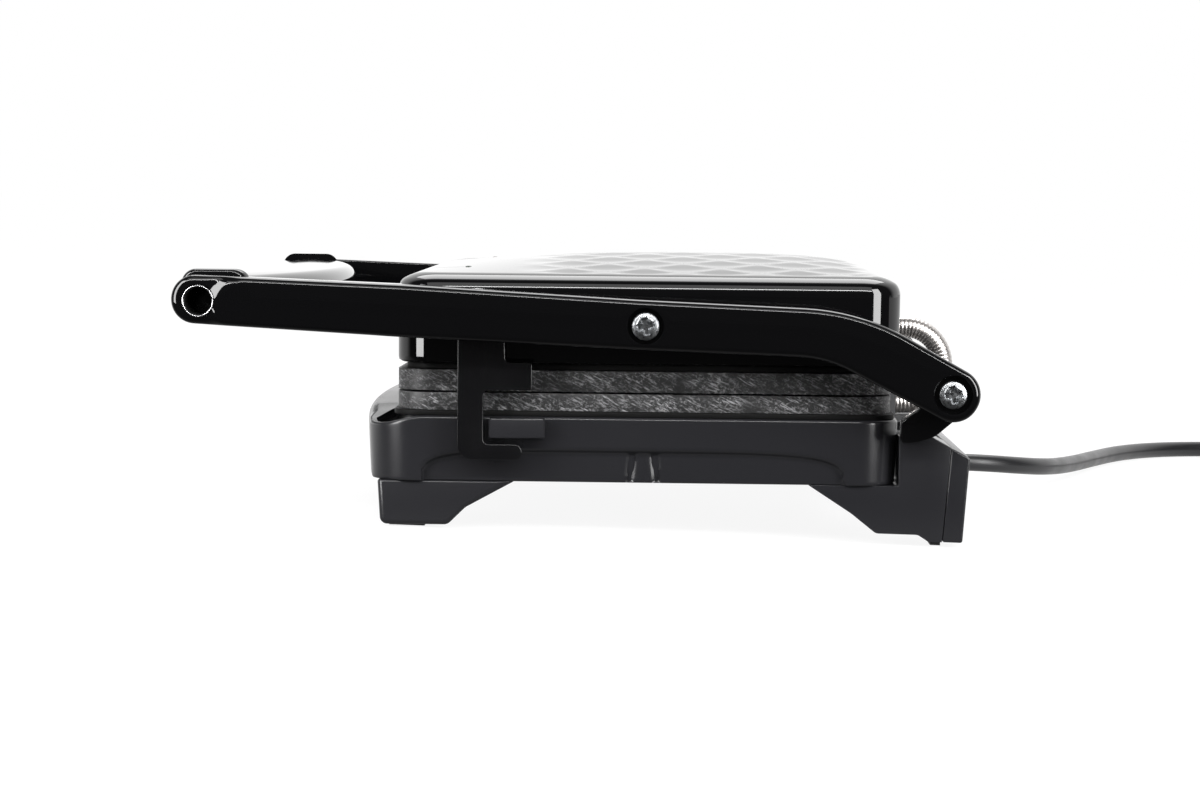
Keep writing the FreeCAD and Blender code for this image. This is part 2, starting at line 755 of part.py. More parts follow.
def pivot_set(name, y, z, shank_end, bush_end):
    """A pair of pivot screws with their bushes: the heads sit in the arms' recesses."""
    seat = size("arm_inner") + size("arm_thick") - size("recess_deep")
    head, shank = size("head_radius"), size("shank_radius")
    screw = small_screw(name + "_screw", head, size("head_high"), shank, seat - shank_end)
    turn = FreeCAD.Rotation(V(0, 0, 1), V(-1, 0, 0))
    screw.Placement = LEAN.multiply(FreeCAD.Placement(V(seat, y, z), turn))
    bush = new_body(name + "_bush")
    pad(bush, "YZ_Plane", f"{bush_end}", circle(y, z, size("bush_radius")), f"{seat - 0.05 - bush_end}")
    pocket(bush, "YZ_Plane", f"{seat}", circle(y, z, shank + 0.04), f"{seat - bush_end}")
    return both_sides(screw, name + "_screws"), both_sides(bush, name + "_bushes")


def latch():
    """A flat hook that hangs inside the right arm, with its mouth to the rear."""
    body = new_body("latch")
    outline = rounded([
        (-74.7, 80, 3), (-74.7, 24.0, 5.4), (-53.0, 24.0, 2.6), (-53.0, 29.3, 2.6), (-66.0, 29.3, 1.8),
        (-66.0, 47.4, 1.8), (-49.8, 47.4, 0.8), (-49.8, 56.4, 0.8), (-58.8, 56.4, 2.0), (-59.4, 80, 3),
    ])
    pad(body, "YZ_Plane", "Sizes.latch_inner", outline, "Sizes.latch_thick")
    dress(body, "Fillet", lambda e, m: abs(m.x - size("latch_inner") - size("latch_thick")) < 1e-3, 0.35)
    pocket(
        body, "YZ_Plane", "Sizes.latch_inner", circle(size("latch_y"), size("latch_z"), 2.08),
        "Sizes.latch_thick", forwards=True,
    )
    return node(body, "latch")


def latch_screw():
    """A shouldered screw, from the inside, into the arm."""
    body = new_body("latch_screw")
    y, z, inner = size("latch_y"), size("latch_z"), size("latch_inner")
    pad(body, "YZ_Plane", f"{inner - 1.6}", circle(y, z, 4.2), "1.5")
    pad(body, "YZ_Plane", f"{inner - 0.1}", circle(y, z, 2.0), f"{size('arm_inner') - inner + 0.05}")
    pad(body, "YZ_Plane", f"{size('arm_inner') - 0.05}", circle(y, z, 1.5), "6")
    return node(body, "latch_screw")


# ---------------------------------------------------------------- cover

def pillow(name, inset):
    """The cover's outer form, or its inside: a rounded box under a dome, made of three prisms."""
    half = size("cover_halfx") - inset
    front, rear = size("cover_front") + inset, size("cover_rear") - inset
    low, edge, crest = size("cover_low"), size("cover_edge") - inset, size("cover_crest") - inset
    middle = (front + rear) / 2
    plan = new_body(name + "_plan")
    outline = box_outline(-half, front, half, rear, size("cover_corner") - inset)
    pad(plan, "XY_Plane", f"{low}", outline, f"{crest - low}")
    across = new_body(name + "_across")
    arc = Part.Arc(V(-half, edge, 0), V(0, crest, 0), V(half, edge, 0))
    lines = [
        Part.LineSegment(V(-half, low, 0), V(half, low, 0)),
        Part.LineSegment(V(half, low, 0), V(half, edge, 0)),
        Part.LineSegment(V(-half, edge, 0), V(-half, low, 0)),
    ]
    pad(across, "XZ_Plane", f"{-front}", [arc] + lines, f"{rear - front}")
    along = new_body(name + "_along")
    arc = Part.Arc(V(front, edge, 0), V(middle, crest, 0), V(rear, edge, 0))
    lines = [
        Part.LineSegment(V(front, low, 0), V(rear, low, 0)),
        Part.LineSegment(V(rear, low, 0), V(rear, edge, 0)),
        Part.LineSegment(V(front, edge, 0), V(front, low, 0)),
    ]
    pad(along, "YZ_Plane", f"{-half}", [arc] + lines, f"{2 * half}")
    both = DOC.addObject("Part::MultiCommon", name)
    both.Shapes = [plan, across, along]
    return both


def cover_shell():
    """The cover, with bosses for the pivot screws, two lens holes and a hose hole."""
    outer = pillow("cover_outside", 0.0)
    inner = pillow("cover_inside", size("cover_wall"))
    hollow = DOC.addObject("Part::Cut", "cover_hollow")
    hollow.Base, hollow.Tool = outer, inner
    y, z, half = size("tilt_y"), size("tilt_z"), size("cover_halfx")
    bosses = [
        cylinder("cover_boss_right", "7", "9", half - 11, y, z, V(1, 0, 0)),
        cylinder("cover_boss_left", "7", "9", 11 - half, y, z, V(-1, 0, 0)),
    ]
    joined = DOC.addObject("Part::MultiFuse", "cover_joined")
    joined.Shapes = [hollow] + bosses
    reach = size("shank_radius") + 0.03
    holes = [
        cylinder("cover_hole_right", f"{reach}", "14", half - 13, y, z, V(1, 0, 0)),
        cylinder("cover_hole_left", f"{reach}", "14", 13 - half, y, z, V(-1, 0, 0)),
        cylinder("cover_hole_hose", "3", "6", size("hose_x"), size("cover_rear") - 4, hose_top(), V(0, 1, 0)),
    ]
    for number, x in enumerate((-size("lens_x"), size("lens_x"))):
        hole = f"cover_hole_lens_{number}"
        holes.append(cylinder(hole, "Sizes.lens_radius + 0.05", "20", x, size("lens_y"), 75, V(0, 0, 1)))
    cutter = DOC.addObject("Part::MultiFuse", "cover_cutter")
    cutter.Shapes = holes
    shell = DOC.addObject("Part::Cut", "cover_shell")
    shell.Base, shell.Tool = joined, cutter
    return node(shell, "cover_shell")


def hose_top():
    """The height of the hose's upper stub in the level frame."""
    return size("hose_centre_z") + size("hose_bend")


def pilot_lenses():
    """Two indicator lenses in the front of the cover, one for power and one for ready."""
    made = []
    y, z = size("lens_y"), size("lens_z")
    for label, x in (("pilot_lens_power", -size("lens_x")), ("pilot_lens_ready", size("lens_x"))):
        made.append(node(cylinder(label, "Sizes.lens_radius", "4.9", x, y, z, V(0, 0, 1)), label))
    return made


def cover_collar():
    """A flanged ferrule that joins the hose to the cover's rear wall."""
    x, rear = size("hose_x"), size("cover_rear")
    body = new_body("cover_collar")
    z = hose_top()
    pad(body, "XZ_Plane", f"{-rear - 0.02}", circle(x, z, 5.2), f"{size('hose_start') - rear - 0.04}")
    return node(body, "cover_collar")


# ---------------------------------------------------------------- cord, drawn in the table's own frame

CORD_ROUTE = [
    (-104.0, 141.75, 9.24), (-104.0, 153.6, 9.54), (-107.4, 166.3, 9.0), (-114.6, 177.6, 8.0),
    (-125.9, 187.3, 6.9), (-143.6, 195.8, 5.8), (-172.5, 206.6, 4.6), (-211.0, 220.0, 3.7),
    (-253.0, 238.2, 3.5), (-281.2, 260.5, 3.5), (-296.5, 288.5, 3.5), (-300.3, 314.0, 3.5),
    (-300.0, 338.0, 3.5),
]
CORD_TAIL = [(-300.0, 342.0, 10.5), (-300.3, 353.0, 11.7), (-301.0, 364.0, 13.6), (-301.0, 373.0, 13.6)]


def cord_edges(points):
    """Straight runs joined by arcs as large as the shorter run allows, and the arcs' radii."""
    spots = [V(*p) for p in points]
    edges, radii, last = [], [], spots[0]
    for before, corner, after in zip(spots, spots[1:], spots[2:]):
        back, ahead = before - corner, after - corner
        reach = 0.45 * min(back.Length, ahead.Length)
        back.normalize()
        ahead.normalize()
        half = back.getAngle(ahead) / 2
        radius = reach * math.tan(half)
        start, end = corner + back * reach, corner + ahead * reach
        middle = corner + (back + ahead).normalize() * (radius / math.sin(half) - radius)
        edges += [Part.LineSegment(last, start).toShape(), Part.Arc(start, middle, end).toShape()]
        radii.append(radius)
        last = end
    edges.append(Part.LineSegment(last, spots[-1]).toShape())
    return edges, radii


def cord_tube(label, points):
    """A round length of cord along its points, as one node."""
    edges, radii = cord_edges(points)
    length = sum(edge.Length for edge in edges)
    feature = DOC.addObject("Part::Feature", label)
    feature.Shape = pipe(edges, size("cord_radius"))
    expected = math.pi * size("cord_radius") ** 2 * length
    print(label, "length", round(length, 1), "volume ratio", round(feature.Shape.Volume / expected, 4))
    print(label, "radii", [round(radius) for radius in radii])
    return node(feature, label)


def cord_coil():
    """The outer shape of two turns of cord, one on the other, on the table."""
    mid, cord = size("coil_radius"), size("cord_radius")
    ring = DOC.addObject("Part::Feature", "cord_coil")
    profile = rounded([
        (mid - cord, 0, 3), (mid + cord, 0, 3), (mid + cord, 4 * cord, 3), (mid - cord, 4 * cord, 3),
    ])
    wire = Part.Wire([edge.toShape() for edge in profile])
    face = Part.Face(wire)
    face.rotate(V(0, 0, 0), V(1, 0, 0), 90)
    ring.Shape = face.revolve(V(0, 0, 0), V(0, 0, 1), 360)
    ring.Placement = FreeCAD.Placement(V(size("coil_x"), size("coil_y"), 0), FreeCAD.Rotation())
    return node(ring, "cord_coil")


def turned_on_y(label, profile, x, y, z, leans):
    """A body of revolution about a line along +Y, from a profile of (radius, distance) corners."""
    body = DOC.addObject("PartDesign::Body", label)
    sketch = sketch_on(body, "XY_Plane", "0")
    sketch.addGeometry(rounded(profile), False)
    turn = body.newObject("PartDesign::Revolution", label + "_turn")
    turn.Profile = sketch
    turn.ReferenceAxis = (sketch, ["V_Axis"])
    turn.Angle = 360
    local = FreeCAD.Placement(V(x, y, z), FreeCAD.Rotation())
    body.Placement = LEAN.multiply(local) if leans else local
    return body


def cord_gland():
    """The strain relief in the rear left leg: a plug in the leg's hole and a taper outside."""
    profile = [
        (0, 0), (5.1, 0), (5.1, 13.3), (5.7, 13.3), (5.7, 14.8), (4.7, 15.4), (4.7, 16.6), (4.3, 16.6),
        (4.3, 17.4), (4.6, 17.4), (4.5, 19), (4.1, 21), (0, 21),
    ]
    body = turned_on_y("cord_gland", profile, size("gland_x"), 84, size("gland_z"), True)
    return node(body, "cord_gland")


def mains_plug():
    """A generic round two-pin plug that lies on the table beside the coil."""
    x, y, z = CORD_TAIL[-1]
    body = turned_on_y("plug_body", [
        (0, 0), (4.4, 0), (6.2, 12), (12.4, 17, 2), (13.4, 24, 4), (13.4, 38, 1.5), (0, 38),
    ], x, y, z, False)
    pieces = [body]
    for side in (-1, 1):
        pin = DOC.addObject("Part::Cylinder", f"plug_pin_{'left' if side < 0 else 'right'}")
        pin.Radius, pin.Height = 2.4, 19
        along = FreeCAD.Rotation(V(0, 0, 1), V(0, 1, 0))
        pin.Placement = FreeCAD.Placement(V(x + side * 9.5, y + 38, z), along)
        pieces.append(pin)
    return together(pieces, "plug")


# ---------------------------------------------------------------- assembly

def build():
    base_shell()
    bottom_cover()
    bottom_posts()
    bottom_screws()
    front_foot()
    rear_leg()
    rear_panel()
    pads()
    hinge_ear()
    latch_keeper()
    seat_ring("lower_seat", "base_top", "lower_plate_low", -1.0)
    cooking_plate("lower_plate", "lower_plate_low", "lower_plate_top", True)
    element("lower_element", size("lower_plate_low") - 3.2)
    reflector("lower_reflector", "30.5", "7.2", True)
    thermostat()
    thermal_fuse()
    terminal_block()
    base_collar()
    seat_ring("upper_seat", "upper_plate_top", "cover_low", 3.0)
    cooking_plate("upper_plate", "upper_plate_low", "upper_plate_top", False)
    element("upper_element", size("upper_plate_top") + 3.2)
    reflector("upper_reflector", "55.8", "7.2", False)
    hose_half("conduit_lower", -90, -28, -90)
    hose_half("conduit_upper", 90, -28, 90)
    arm()
    grip()
    grip_tube()
    pivot_set("tilt", size("tilt_y"), size("tilt_z"), 112.5, 120.15)
    pivot_set("hinge", size("hinge_y"), size("hinge_z"), 116.0, 127.65)
    latch()
    latch_screw()
    cover_shell()
    pilot_lenses()
    cover_collar()
    cord_gland()
    cord_tube("cord", CORD_ROUTE)
    cord_coil()
    cord_tube("cord_tail", CORD_TAIL)
    mains_plug()


def export():
    """Checks every feature and every sub-part, then writes one STEP file for each sub-part."""
    DOC.recompute()
    for item in DOC.Objects:
        if {"Invalid", "Error"} & set(item.State):
            raise RuntimeError(f"{item.Name} is {item.State}")
    os.makedirs("parts", exist_ok=True)
    for item in NODES:
        shape = item.Shape
        if shape.isNull() or not shape.isValid() or not shape.Solids:
            raise RuntimeError(f"{item.Label} has no valid solid")
        shape.exportStep(f"parts/{item.Label}.step")
        print(item.Label, len(shape.Solids), round(shape.Volume))
    print(len(NODES), "sub-parts")


build()
export()
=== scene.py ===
import json
import math

import bmesh
import bpy
import numpy as np
from mathutils import Matrix, Vector
from mathutils.geometry import delaunay_2d_cdt

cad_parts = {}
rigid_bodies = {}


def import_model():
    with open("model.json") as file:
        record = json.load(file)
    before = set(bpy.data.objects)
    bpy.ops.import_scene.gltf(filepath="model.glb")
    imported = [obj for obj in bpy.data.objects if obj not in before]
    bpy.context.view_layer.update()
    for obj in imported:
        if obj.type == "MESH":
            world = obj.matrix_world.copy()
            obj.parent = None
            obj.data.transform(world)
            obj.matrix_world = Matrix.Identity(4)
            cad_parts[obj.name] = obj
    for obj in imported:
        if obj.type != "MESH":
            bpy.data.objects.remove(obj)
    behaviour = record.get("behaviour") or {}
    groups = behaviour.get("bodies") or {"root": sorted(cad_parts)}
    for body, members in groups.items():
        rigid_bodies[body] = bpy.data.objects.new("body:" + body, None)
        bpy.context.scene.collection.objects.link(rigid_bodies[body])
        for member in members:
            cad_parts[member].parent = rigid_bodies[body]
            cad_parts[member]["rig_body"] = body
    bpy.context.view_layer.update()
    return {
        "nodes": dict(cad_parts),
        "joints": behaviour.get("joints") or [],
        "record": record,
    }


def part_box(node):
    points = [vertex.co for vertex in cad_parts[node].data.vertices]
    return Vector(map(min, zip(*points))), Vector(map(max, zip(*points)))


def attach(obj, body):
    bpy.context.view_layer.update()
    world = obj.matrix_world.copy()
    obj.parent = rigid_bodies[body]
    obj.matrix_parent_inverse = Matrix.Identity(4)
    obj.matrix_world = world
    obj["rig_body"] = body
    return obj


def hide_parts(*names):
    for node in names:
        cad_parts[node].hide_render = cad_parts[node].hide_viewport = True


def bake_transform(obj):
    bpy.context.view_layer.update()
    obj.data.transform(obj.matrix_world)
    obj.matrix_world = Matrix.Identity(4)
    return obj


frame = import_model()
NODES = frame["nodes"]
JOINTS = {joint["name"]: joint for joint in frame["joints"]}
SCENE = bpy.context.scene

# The machine is drawn in its own level frame, in millimetres, with the cooking plates horizontal.
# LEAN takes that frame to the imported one: tipped forward about X, with the rear hinge where the record says.
LEAN_ANGLE = math.radians(1.46)
HINGE_LEVEL = Vector((0, 89.0, 48.3))
MM = 0.001


def leaning():
    """The matrix from level millimetres to the frame's metres."""
    turn = Matrix.Rotation(LEAN_ANGLE, 4, "X") @ Matrix.Scale(MM, 4)
    hinge = JOINTS["handle_hinge"]["pos_m"]
    there = Vector((0, hinge[1], hinge[2]))
    return Matrix.Translation(there - turn @ HINGE_LEVEL) @ turn


LEAN = leaning()
LEVEL = LEAN.inverted()


def level_points(node):
    """The vertices of a CAD node in the level frame, in millimetres."""
    matrix = np.array(LEVEL)
    return np.array([v.co for v in NODES[node].data.vertices]) @ matrix[:3, :3].T + matrix[:3, 3]


def level_box(node):
    """The lowest and highest corners of a CAD node in the level frame."""
    points = level_points(node)
    return Vector(points.min(0)), Vector(points.max(0))


def level_centre(node):
    low, high = level_box(node)
    return (low + high) / 2


def innermost_x(node):
    """The smallest |X| of a node that lies on both sides."""
    return float(np.abs(level_points(node)[:, 0]).min())


def joint_level(name):
    """A joint's place in the level frame."""
    return LEVEL @ Vector(JOINTS[name]["pos_m"])


# ---------------------------------------------------------------- pieces

WELD = 2e-6
NO_LENGTH = 1e-6
BEVEL_SEGMENTS, BEVEL_ANGLE = 3, 30
COPLANAR_ANGLE, SOFTENED_SHARP = 0.6, 35


def linked(name, data):
    """A new object in the scene."""
    piece = bpy.data.objects.new(name, data)
    SCENE.collection.objects.link(piece)
    return piece


def painted(mesh, material):
    mesh.materials.clear()
    mesh.materials.append(material)


def shaded(mesh, sharp):
    """Smooth shading, except across edges over an angle in degrees."""
    mesh.shade_smooth()
    mesh.set_sharp_from_angle(angle=math.radians(sharp))


def piece_from(name, vertices, faces, material, body, slot, replaces=(), sharp=40):
    """A mesh piece from level millimetres. It rides on a body, when one is given."""
    mesh = bpy.data.meshes.new(name)
    mesh.from_pydata([tuple(v) for v in vertices], [], faces)
    mesh.transform(LEAN)
    clean = bmesh.new()
    clean.from_mesh(mesh)
    bmesh.ops.remove_doubles(clean, verts=clean.verts, dist=WELD)
    bmesh.ops.dissolve_degenerate(clean, edges=clean.edges, dist=NO_LENGTH)
    bmesh.ops.recalc_face_normals(clean, faces=clean.faces)
    clean.to_mesh(mesh)
    clean.free()
    painted(mesh, material)
    shaded(mesh, sharp)
    piece = linked(name, mesh)
    if body:
        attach(piece, body)
    if replaces:
        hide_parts(*replaces)
    return piece


def apply_modifiers(piece):
    """Turns what the modifiers make into the piece's own mesh."""
    depsgraph = bpy.context.evaluated_depsgraph_get()
    mesh = bpy.data.meshes.new_from_object(piece.evaluated_get(depsgraph))
    old = piece.data
    piece.modifiers.clear()
    piece.data = mesh
    bpy.data.meshes.remove(old)
    mesh.name = piece.name


def softened(node, width):
    """A copy of a CAD node, with its edges rounded by a width in millimetres, which stands for the node."""
    source = NODES[node]
    mesh = source.data.copy()
    work = bmesh.new()
    work.from_mesh(mesh)
    bmesh.ops.remove_doubles(work, verts=work.verts, dist=WELD)
    bmesh.ops.dissolve_limit(
        work, angle_limit=math.radians(COPLANAR_ANGLE), verts=work.verts, edges=work.edges)
    work.to_mesh(mesh)
    work.free()
    painted(mesh, PAINTS[SLOT_OF[node]])
    piece = linked(node + "_shaped", mesh)
    bevel = piece.modifiers.new("round", "BEVEL")
    bevel.width = width * MM
    bevel.segments = BEVEL_SEGMENTS
    bevel.limit_method = "ANGLE"
    bevel.angle_limit = math.radians(BEVEL_ANGLE)
    bevel.use_clamp_overlap = True
    bevel.harden_normals = False
    apply_modifiers(piece)
    shaded(piece.data, SOFTENED_SHARP)
    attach(piece, source["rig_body"])
    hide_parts(node)
    return piece


SLOT_OF = {part["node"]: part["material_slot"] for part in frame["record"]["subparts"]}


# ---------------------------------------------------------------- materials

def set_inputs(node, **values):
    """Sets a node's inputs by name, with _ for a space."""
    for socket, value in values.items():
        node.inputs[socket.replace("_", " ")].default_value = value
    return node


def map_range(nodes, links, value, low, high, out_low, out_high, kind="LINEAR"):
    """Takes low to out_low and high to out_high, and holds those two outside."""
    node = nodes.new("ShaderNodeMapRange")
    node.interpolation_type = kind
    set_inputs(node, From_Min=low, From_Max=high, To_Min=out_low, To_Max=out_high)
    links.new(value, node.inputs["Value"])
    return node.outputs["Result"]


class Paint:
    """A small helper that builds one procedural material."""

    def __init__(self, name, colour, roughness, metallic=0.0, **sockets):
        self.material = bpy.data.materials.new(name)
        self.material.use_nodes = True
        self.nodes = self.material.node_tree.nodes
        self.links = self.material.node_tree.links
        self.shader = self.nodes["Principled BSDF"]
        set_inputs(self.shader, Base_Color=(*colour, 1), Roughness=roughness, Metallic=metallic, **sockets)
        self.place = self.nodes.new("ShaderNodeTexCoord").outputs["Object"]

    def stretched(self, scale, turn=(0, 0, 0)):
        """Coordinates turned first and then scaled, so that a stretched pattern runs along a slant."""
        turned = set_inputs(self.nodes.new("ShaderNodeMapping"), Rotation=turn)
        self.links.new(self.place, turned.inputs["Vector"])
        scaled = set_inputs(self.nodes.new("ShaderNodeMapping"), Scale=scale)
        self.links.new(turned.outputs["Vector"], scaled.inputs["Vector"])
        return scaled.outputs["Vector"]

    def noise(self, scale, detail=3.0, roughness=0.5, vector=None):
        noise = self.nodes.new("ShaderNodeTexNoise")
        set_inputs(noise, Scale=scale, Detail=detail, Roughness=roughness)
        self.links.new(vector or self.place, noise.inputs["Vector"])
        return noise.outputs["Fac"]

    def ramp(self, value, low, high, out_low, out_high):
        return map_range(self.nodes, self.links, value, low, high, out_low, out_high)

    def mix(self, factor, first, second):
        mix = self.nodes.new("ShaderNodeMix")
        mix.data_type = "RGBA"
        set_inputs(mix, A=(*first, 1), B=(*second, 1))
        self.links.new(factor, mix.inputs["Factor"])
        return mix.outputs["Result"]

    def maths(self, operation, first, second):
        step = self.nodes.new("ShaderNodeMath")
        step.operation = operation
        self.links.new(first, step.inputs[0])
        self.links.new(second, step.inputs[1])
        return step.outputs["Value"]

    def rough(self, value):
        self.links.new(value, self.shader.inputs["Roughness"])

    def colour(self, value):
        self.links.new(value, self.shader.inputs["Base Color"])

    def bump(self, height, strength, distance):
        bump = set_inputs(self.nodes.new("ShaderNodeBump"), Strength=strength, Distance=distance)
        self.links.new(height, bump.inputs["Height"])
        self.links.new(bump.outputs["Normal"], self.shader.inputs["Normal"])


def gloss_black():
    paint = Paint("gloss_black", (0.0016, 0.0016, 0.0018), 0.05, IOR=1.5)
    wisps = paint.noise(1.0, 4, 0.6, paint.stretched((160, 40, 160)))
    paint.rough(paint.ramp(wisps, 0.45, 0.85, 0.04, 0.075))
    paint.bump(paint.noise(26, 1), 0.012, 0.0004)
    return paint.material


def base_plastic():
    paint = Paint("base_plastic", (0.0115, 0.0115, 0.0132), 0.24, Specular_IOR_Level=0.55)
    cloud = paint.noise(22, 3, 0.55)
    paint.rough(paint.ramp(cloud, 0.3, 0.7, 0.2, 0.27))
    paint.colour(paint.mix(paint.noise(9, 2), (0.0105, 0.0105, 0.012), (0.0126, 0.0126, 0.0144)))
    paint.bump(paint.noise(3200, 2, 0.5), 0.035, 0.00004)
    return paint.material


def latch_black():
    paint = Paint("latch_black", (0.003, 0.003, 0.0034), 0.2)
    paint.rough(paint.ramp(paint.noise(70, 3), 0.3, 0.7, 0.15, 0.24))
    paint.bump(paint.noise(2400, 2), 0.03, 0.00004)
    return paint.material


def seat_black():
    paint = Paint("seat_black", (0.0025, 0.0025, 0.0025), 0.6, Specular_IOR_Level=0.15)
    paint.rough(paint.ramp(paint.noise(120, 3), 0.3, 0.7, 0.5, 0.7))
    paint.bump(paint.noise(900, 3), 0.15, 0.00008)
    return paint.material


def cast_coated():
    """A rough casting under a dark coating, with slanting file marks and bright grains."""
    paint = Paint("cast_coated", (0.02, 0.02, 0.021), 0.45, Specular_IOR_Level=0.7)
    slant = paint.stretched((700, 300, 1800), (math.radians(25), 0, 0))
    cross = paint.stretched((700, 420, 1600), (math.radians(-20), 0, 0))
    marks = paint.ramp(paint.noise(1.0, 3, 0.7, slant), 0.53, 0.67, 0.0, 1.0)
    faint = paint.ramp(paint.noise(1.0, 3, 0.7, cross), 0.58, 0.72, 0.0, 0.6)
    grains = paint.ramp(paint.noise(1250, 3, 0.75), 0.55, 0.67, 0.0, 0.7)
    patches = paint.ramp(paint.noise(95, 3, 0.6), 0.32, 0.66, 0.12, 1.0)
    rough = paint.maths("MAXIMUM", paint.maths("MAXIMUM", marks, faint), grains)
    scratched = paint.maths("MULTIPLY", rough, patches)
    paint.colour(paint.mix(scratched, (0.005, 0.005, 0.0054), (0.34, 0.34, 0.35)))
    paint.rough(paint.ramp(scratched, 0, 1, 0.5, 0.3))
    paint.bump(scratched, 0.55, 0.0003)
    return paint.material


def metal(name, colour, low, high, grain, scale=(1, 1, 1), strength=0.08):
    paint = Paint(name, colour, low, metallic=1.0)
    marks = paint.noise(grain, 4, 0.65, paint.stretched(scale))
    paint.rough(paint.ramp(marks, 0.3, 0.75, low, high))
    dull = tuple(part * 0.72 for part in colour)
    paint.colour(paint.mix(paint.noise(grain * 0.4, 3), colour, dull))
    paint.bump(marks, strength, 0.0001)
    return paint.material


def rubber(name, colour, low, high):
    paint = Paint(name, colour, low)
    paint.rough(paint.ramp(paint.noise(90, 3), 0.3, 0.7, low, high))
    paint.bump(paint.noise(2200, 2), 0.08, 0.00005)
    return paint.material


def ceramic():
    paint = Paint("ceramic_white", (0.8, 0.78, 0.72), 0.25)
    paint.colour(paint.mix(paint.noise(60, 3), (0.82, 0.8, 0.74), (0.7, 0.67, 0.6)))
    paint.bump(paint.noise(400, 2), 0.05, 0.0001)
    return paint.material


def lens(name, colour):
    paint = Paint(name, colour, 0.08, Transmission_Weight=0.7, IOR=1.49)
    paint.rough(paint.ramp(paint.noise(300, 2), 0.3, 0.7, 0.06, 0.14))
    return paint.material


PAINTS = {
    "gloss_black": gloss_black(),
    "base_plastic": base_plastic(),
    "latch_black": latch_black(),
    "seat_black": seat_black(),
    "cast_coated": cast_coated(),
    "plated_steel": metal("plated_steel", (0.5, 0.5, 0.51), 0.3, 0.5, 50),
    "zinc_steel": metal("zinc_steel", (0.34, 0.35, 0.36), 0.2, 0.45, 1100, strength=0.7),
    "element_steel": metal("element_steel", (0.3, 0.28, 0.26), 0.4, 0.6, 200),
    "reflector_aluminium": metal("reflector_aluminium", (0.8, 0.8, 0.8), 0.2, 0.35, 60, (1, 8, 1)),
    "hose_steel": metal("hose_steel", (0.62, 0.59, 0.57), 0.3, 0.42, 500),
    "tube_chrome": metal("tube_chrome", (0.85, 0.85, 0.86), 0.16, 0.24, 300, strength=0.02),
    "bush_brass": metal("bush_brass", (0.66, 0.48, 0.22), 0.25, 0.4, 300),
    "collar_grey": rubber("collar_grey", (0.05, 0.05, 0.052), 0.4, 0.5),
    "rubber_black": rubber("rubber_black", (0.012, 0.012, 0.012), 0.55, 0.7),
    "cord_pvc": rubber("cord_pvc", (0.009, 0.009, 0.01), 0.3, 0.4),
    "plug_pvc": rubber("plug_pvc", (0.01, 0.01, 0.011), 0.34, 0.46),
    "ceramic_white": ceramic(),
    "lens_red": lens("lens_red", (0.06, 0.002, 0.002)),
    "lens_green": lens("lens_green", (0.003, 0.03, 0.008)),
}

for node, cad_object in NODES.items():
    painted(cad_object.data, PAINTS[SLOT_OF[node]])


# ---------------------------------------------------------------- shape helpers

def ease(low, high, value):
    """A smooth step from 0 at low to 1 at high."""
    t = np.clip((np.asarray(value, float) - low) / (high - low), 0, 1)
    return t * t * (3 - 2 * t)


def loft(rings, closed_rings=False):
    """Quads between rings of the same number of points. Returns vertices and faces."""
    count = len(rings[0])
    vertices = [tuple(point) for ring in rings for point in ring]
    faces = []
    last = len(rings) if closed_rings else len(rings) - 1
    for row in range(last):
        this, above = row * count, (row + 1) % len(rings) * count
        for column in range(count):
            beside = (column + 1) % count
            faces.append((this + column, this + beside, above + beside, above + column))
    return vertices, faces


def capped(rings):
    """A loft whose first and last rings are closed by faces."""
    vertices, faces = loft(rings)
    count = len(rings[0])
    faces.append(tuple(range(count)))
    faces.append(tuple(range(len(vertices) - count, len(vertices))))
    return vertices, faces


def lathe(profile, centre, axis, steps=48):
    """A closed body of revolution from (radius, distance) pairs along an axis of the level frame."""
    turn = Vector((0, 0, 1)).rotation_difference(Vector(axis)).to_matrix()
    rings = []
    for radius, along in profile:
        ring = []
        for step in range(steps):
            angle = math.tau * step / steps
            local = Vector((radius * math.cos(angle), radius * math.sin(angle), along))
            ring.append(Vector(centre) + turn @ local)
        rings.append(ring)
    return capped(rings)


def rounded_plan(x0, x1, y0, y1, corner, pitch):
    """Points and outward normals round a rectangle with round corners, evenly spaced."""
    straight_x, straight_y = x1 - x0 - 2 * corner, y1 - y0 - 2 * corner
    sides = [(x1, y0 + corner, 0, straight_y), (x1 - corner, y1, 1, straight_x),
             (x0, y1 - corner, 2, straight_y), (x0 + corner, y0, 3, straight_x)]
    points, normals = [], []
    arc_steps = max(8, int(corner * math.pi / 2 / pitch))
    for x, y, quarter, length in sides:
        facing = Vector((math.cos(quarter * math.pi / 2), math.sin(quarter * math.pi / 2)))
        along = Vector((-facing.y, facing.x))
        start = Vector((x, y))
        steps = int(length / pitch)
        for step in range(steps):
            points.append(start + along * (length * step / steps))
            normals.append(facing)
        middle = start + along * length - facing * corner
        for step in range(arc_steps):
            angle = (quarter + step / arc_steps) * math.pi / 2
            normal = Vector((math.cos(angle), math.sin(angle)))
            points.append(middle + normal * corner)
            normals.append(normal)
    return np.array(points), np.array(normals)


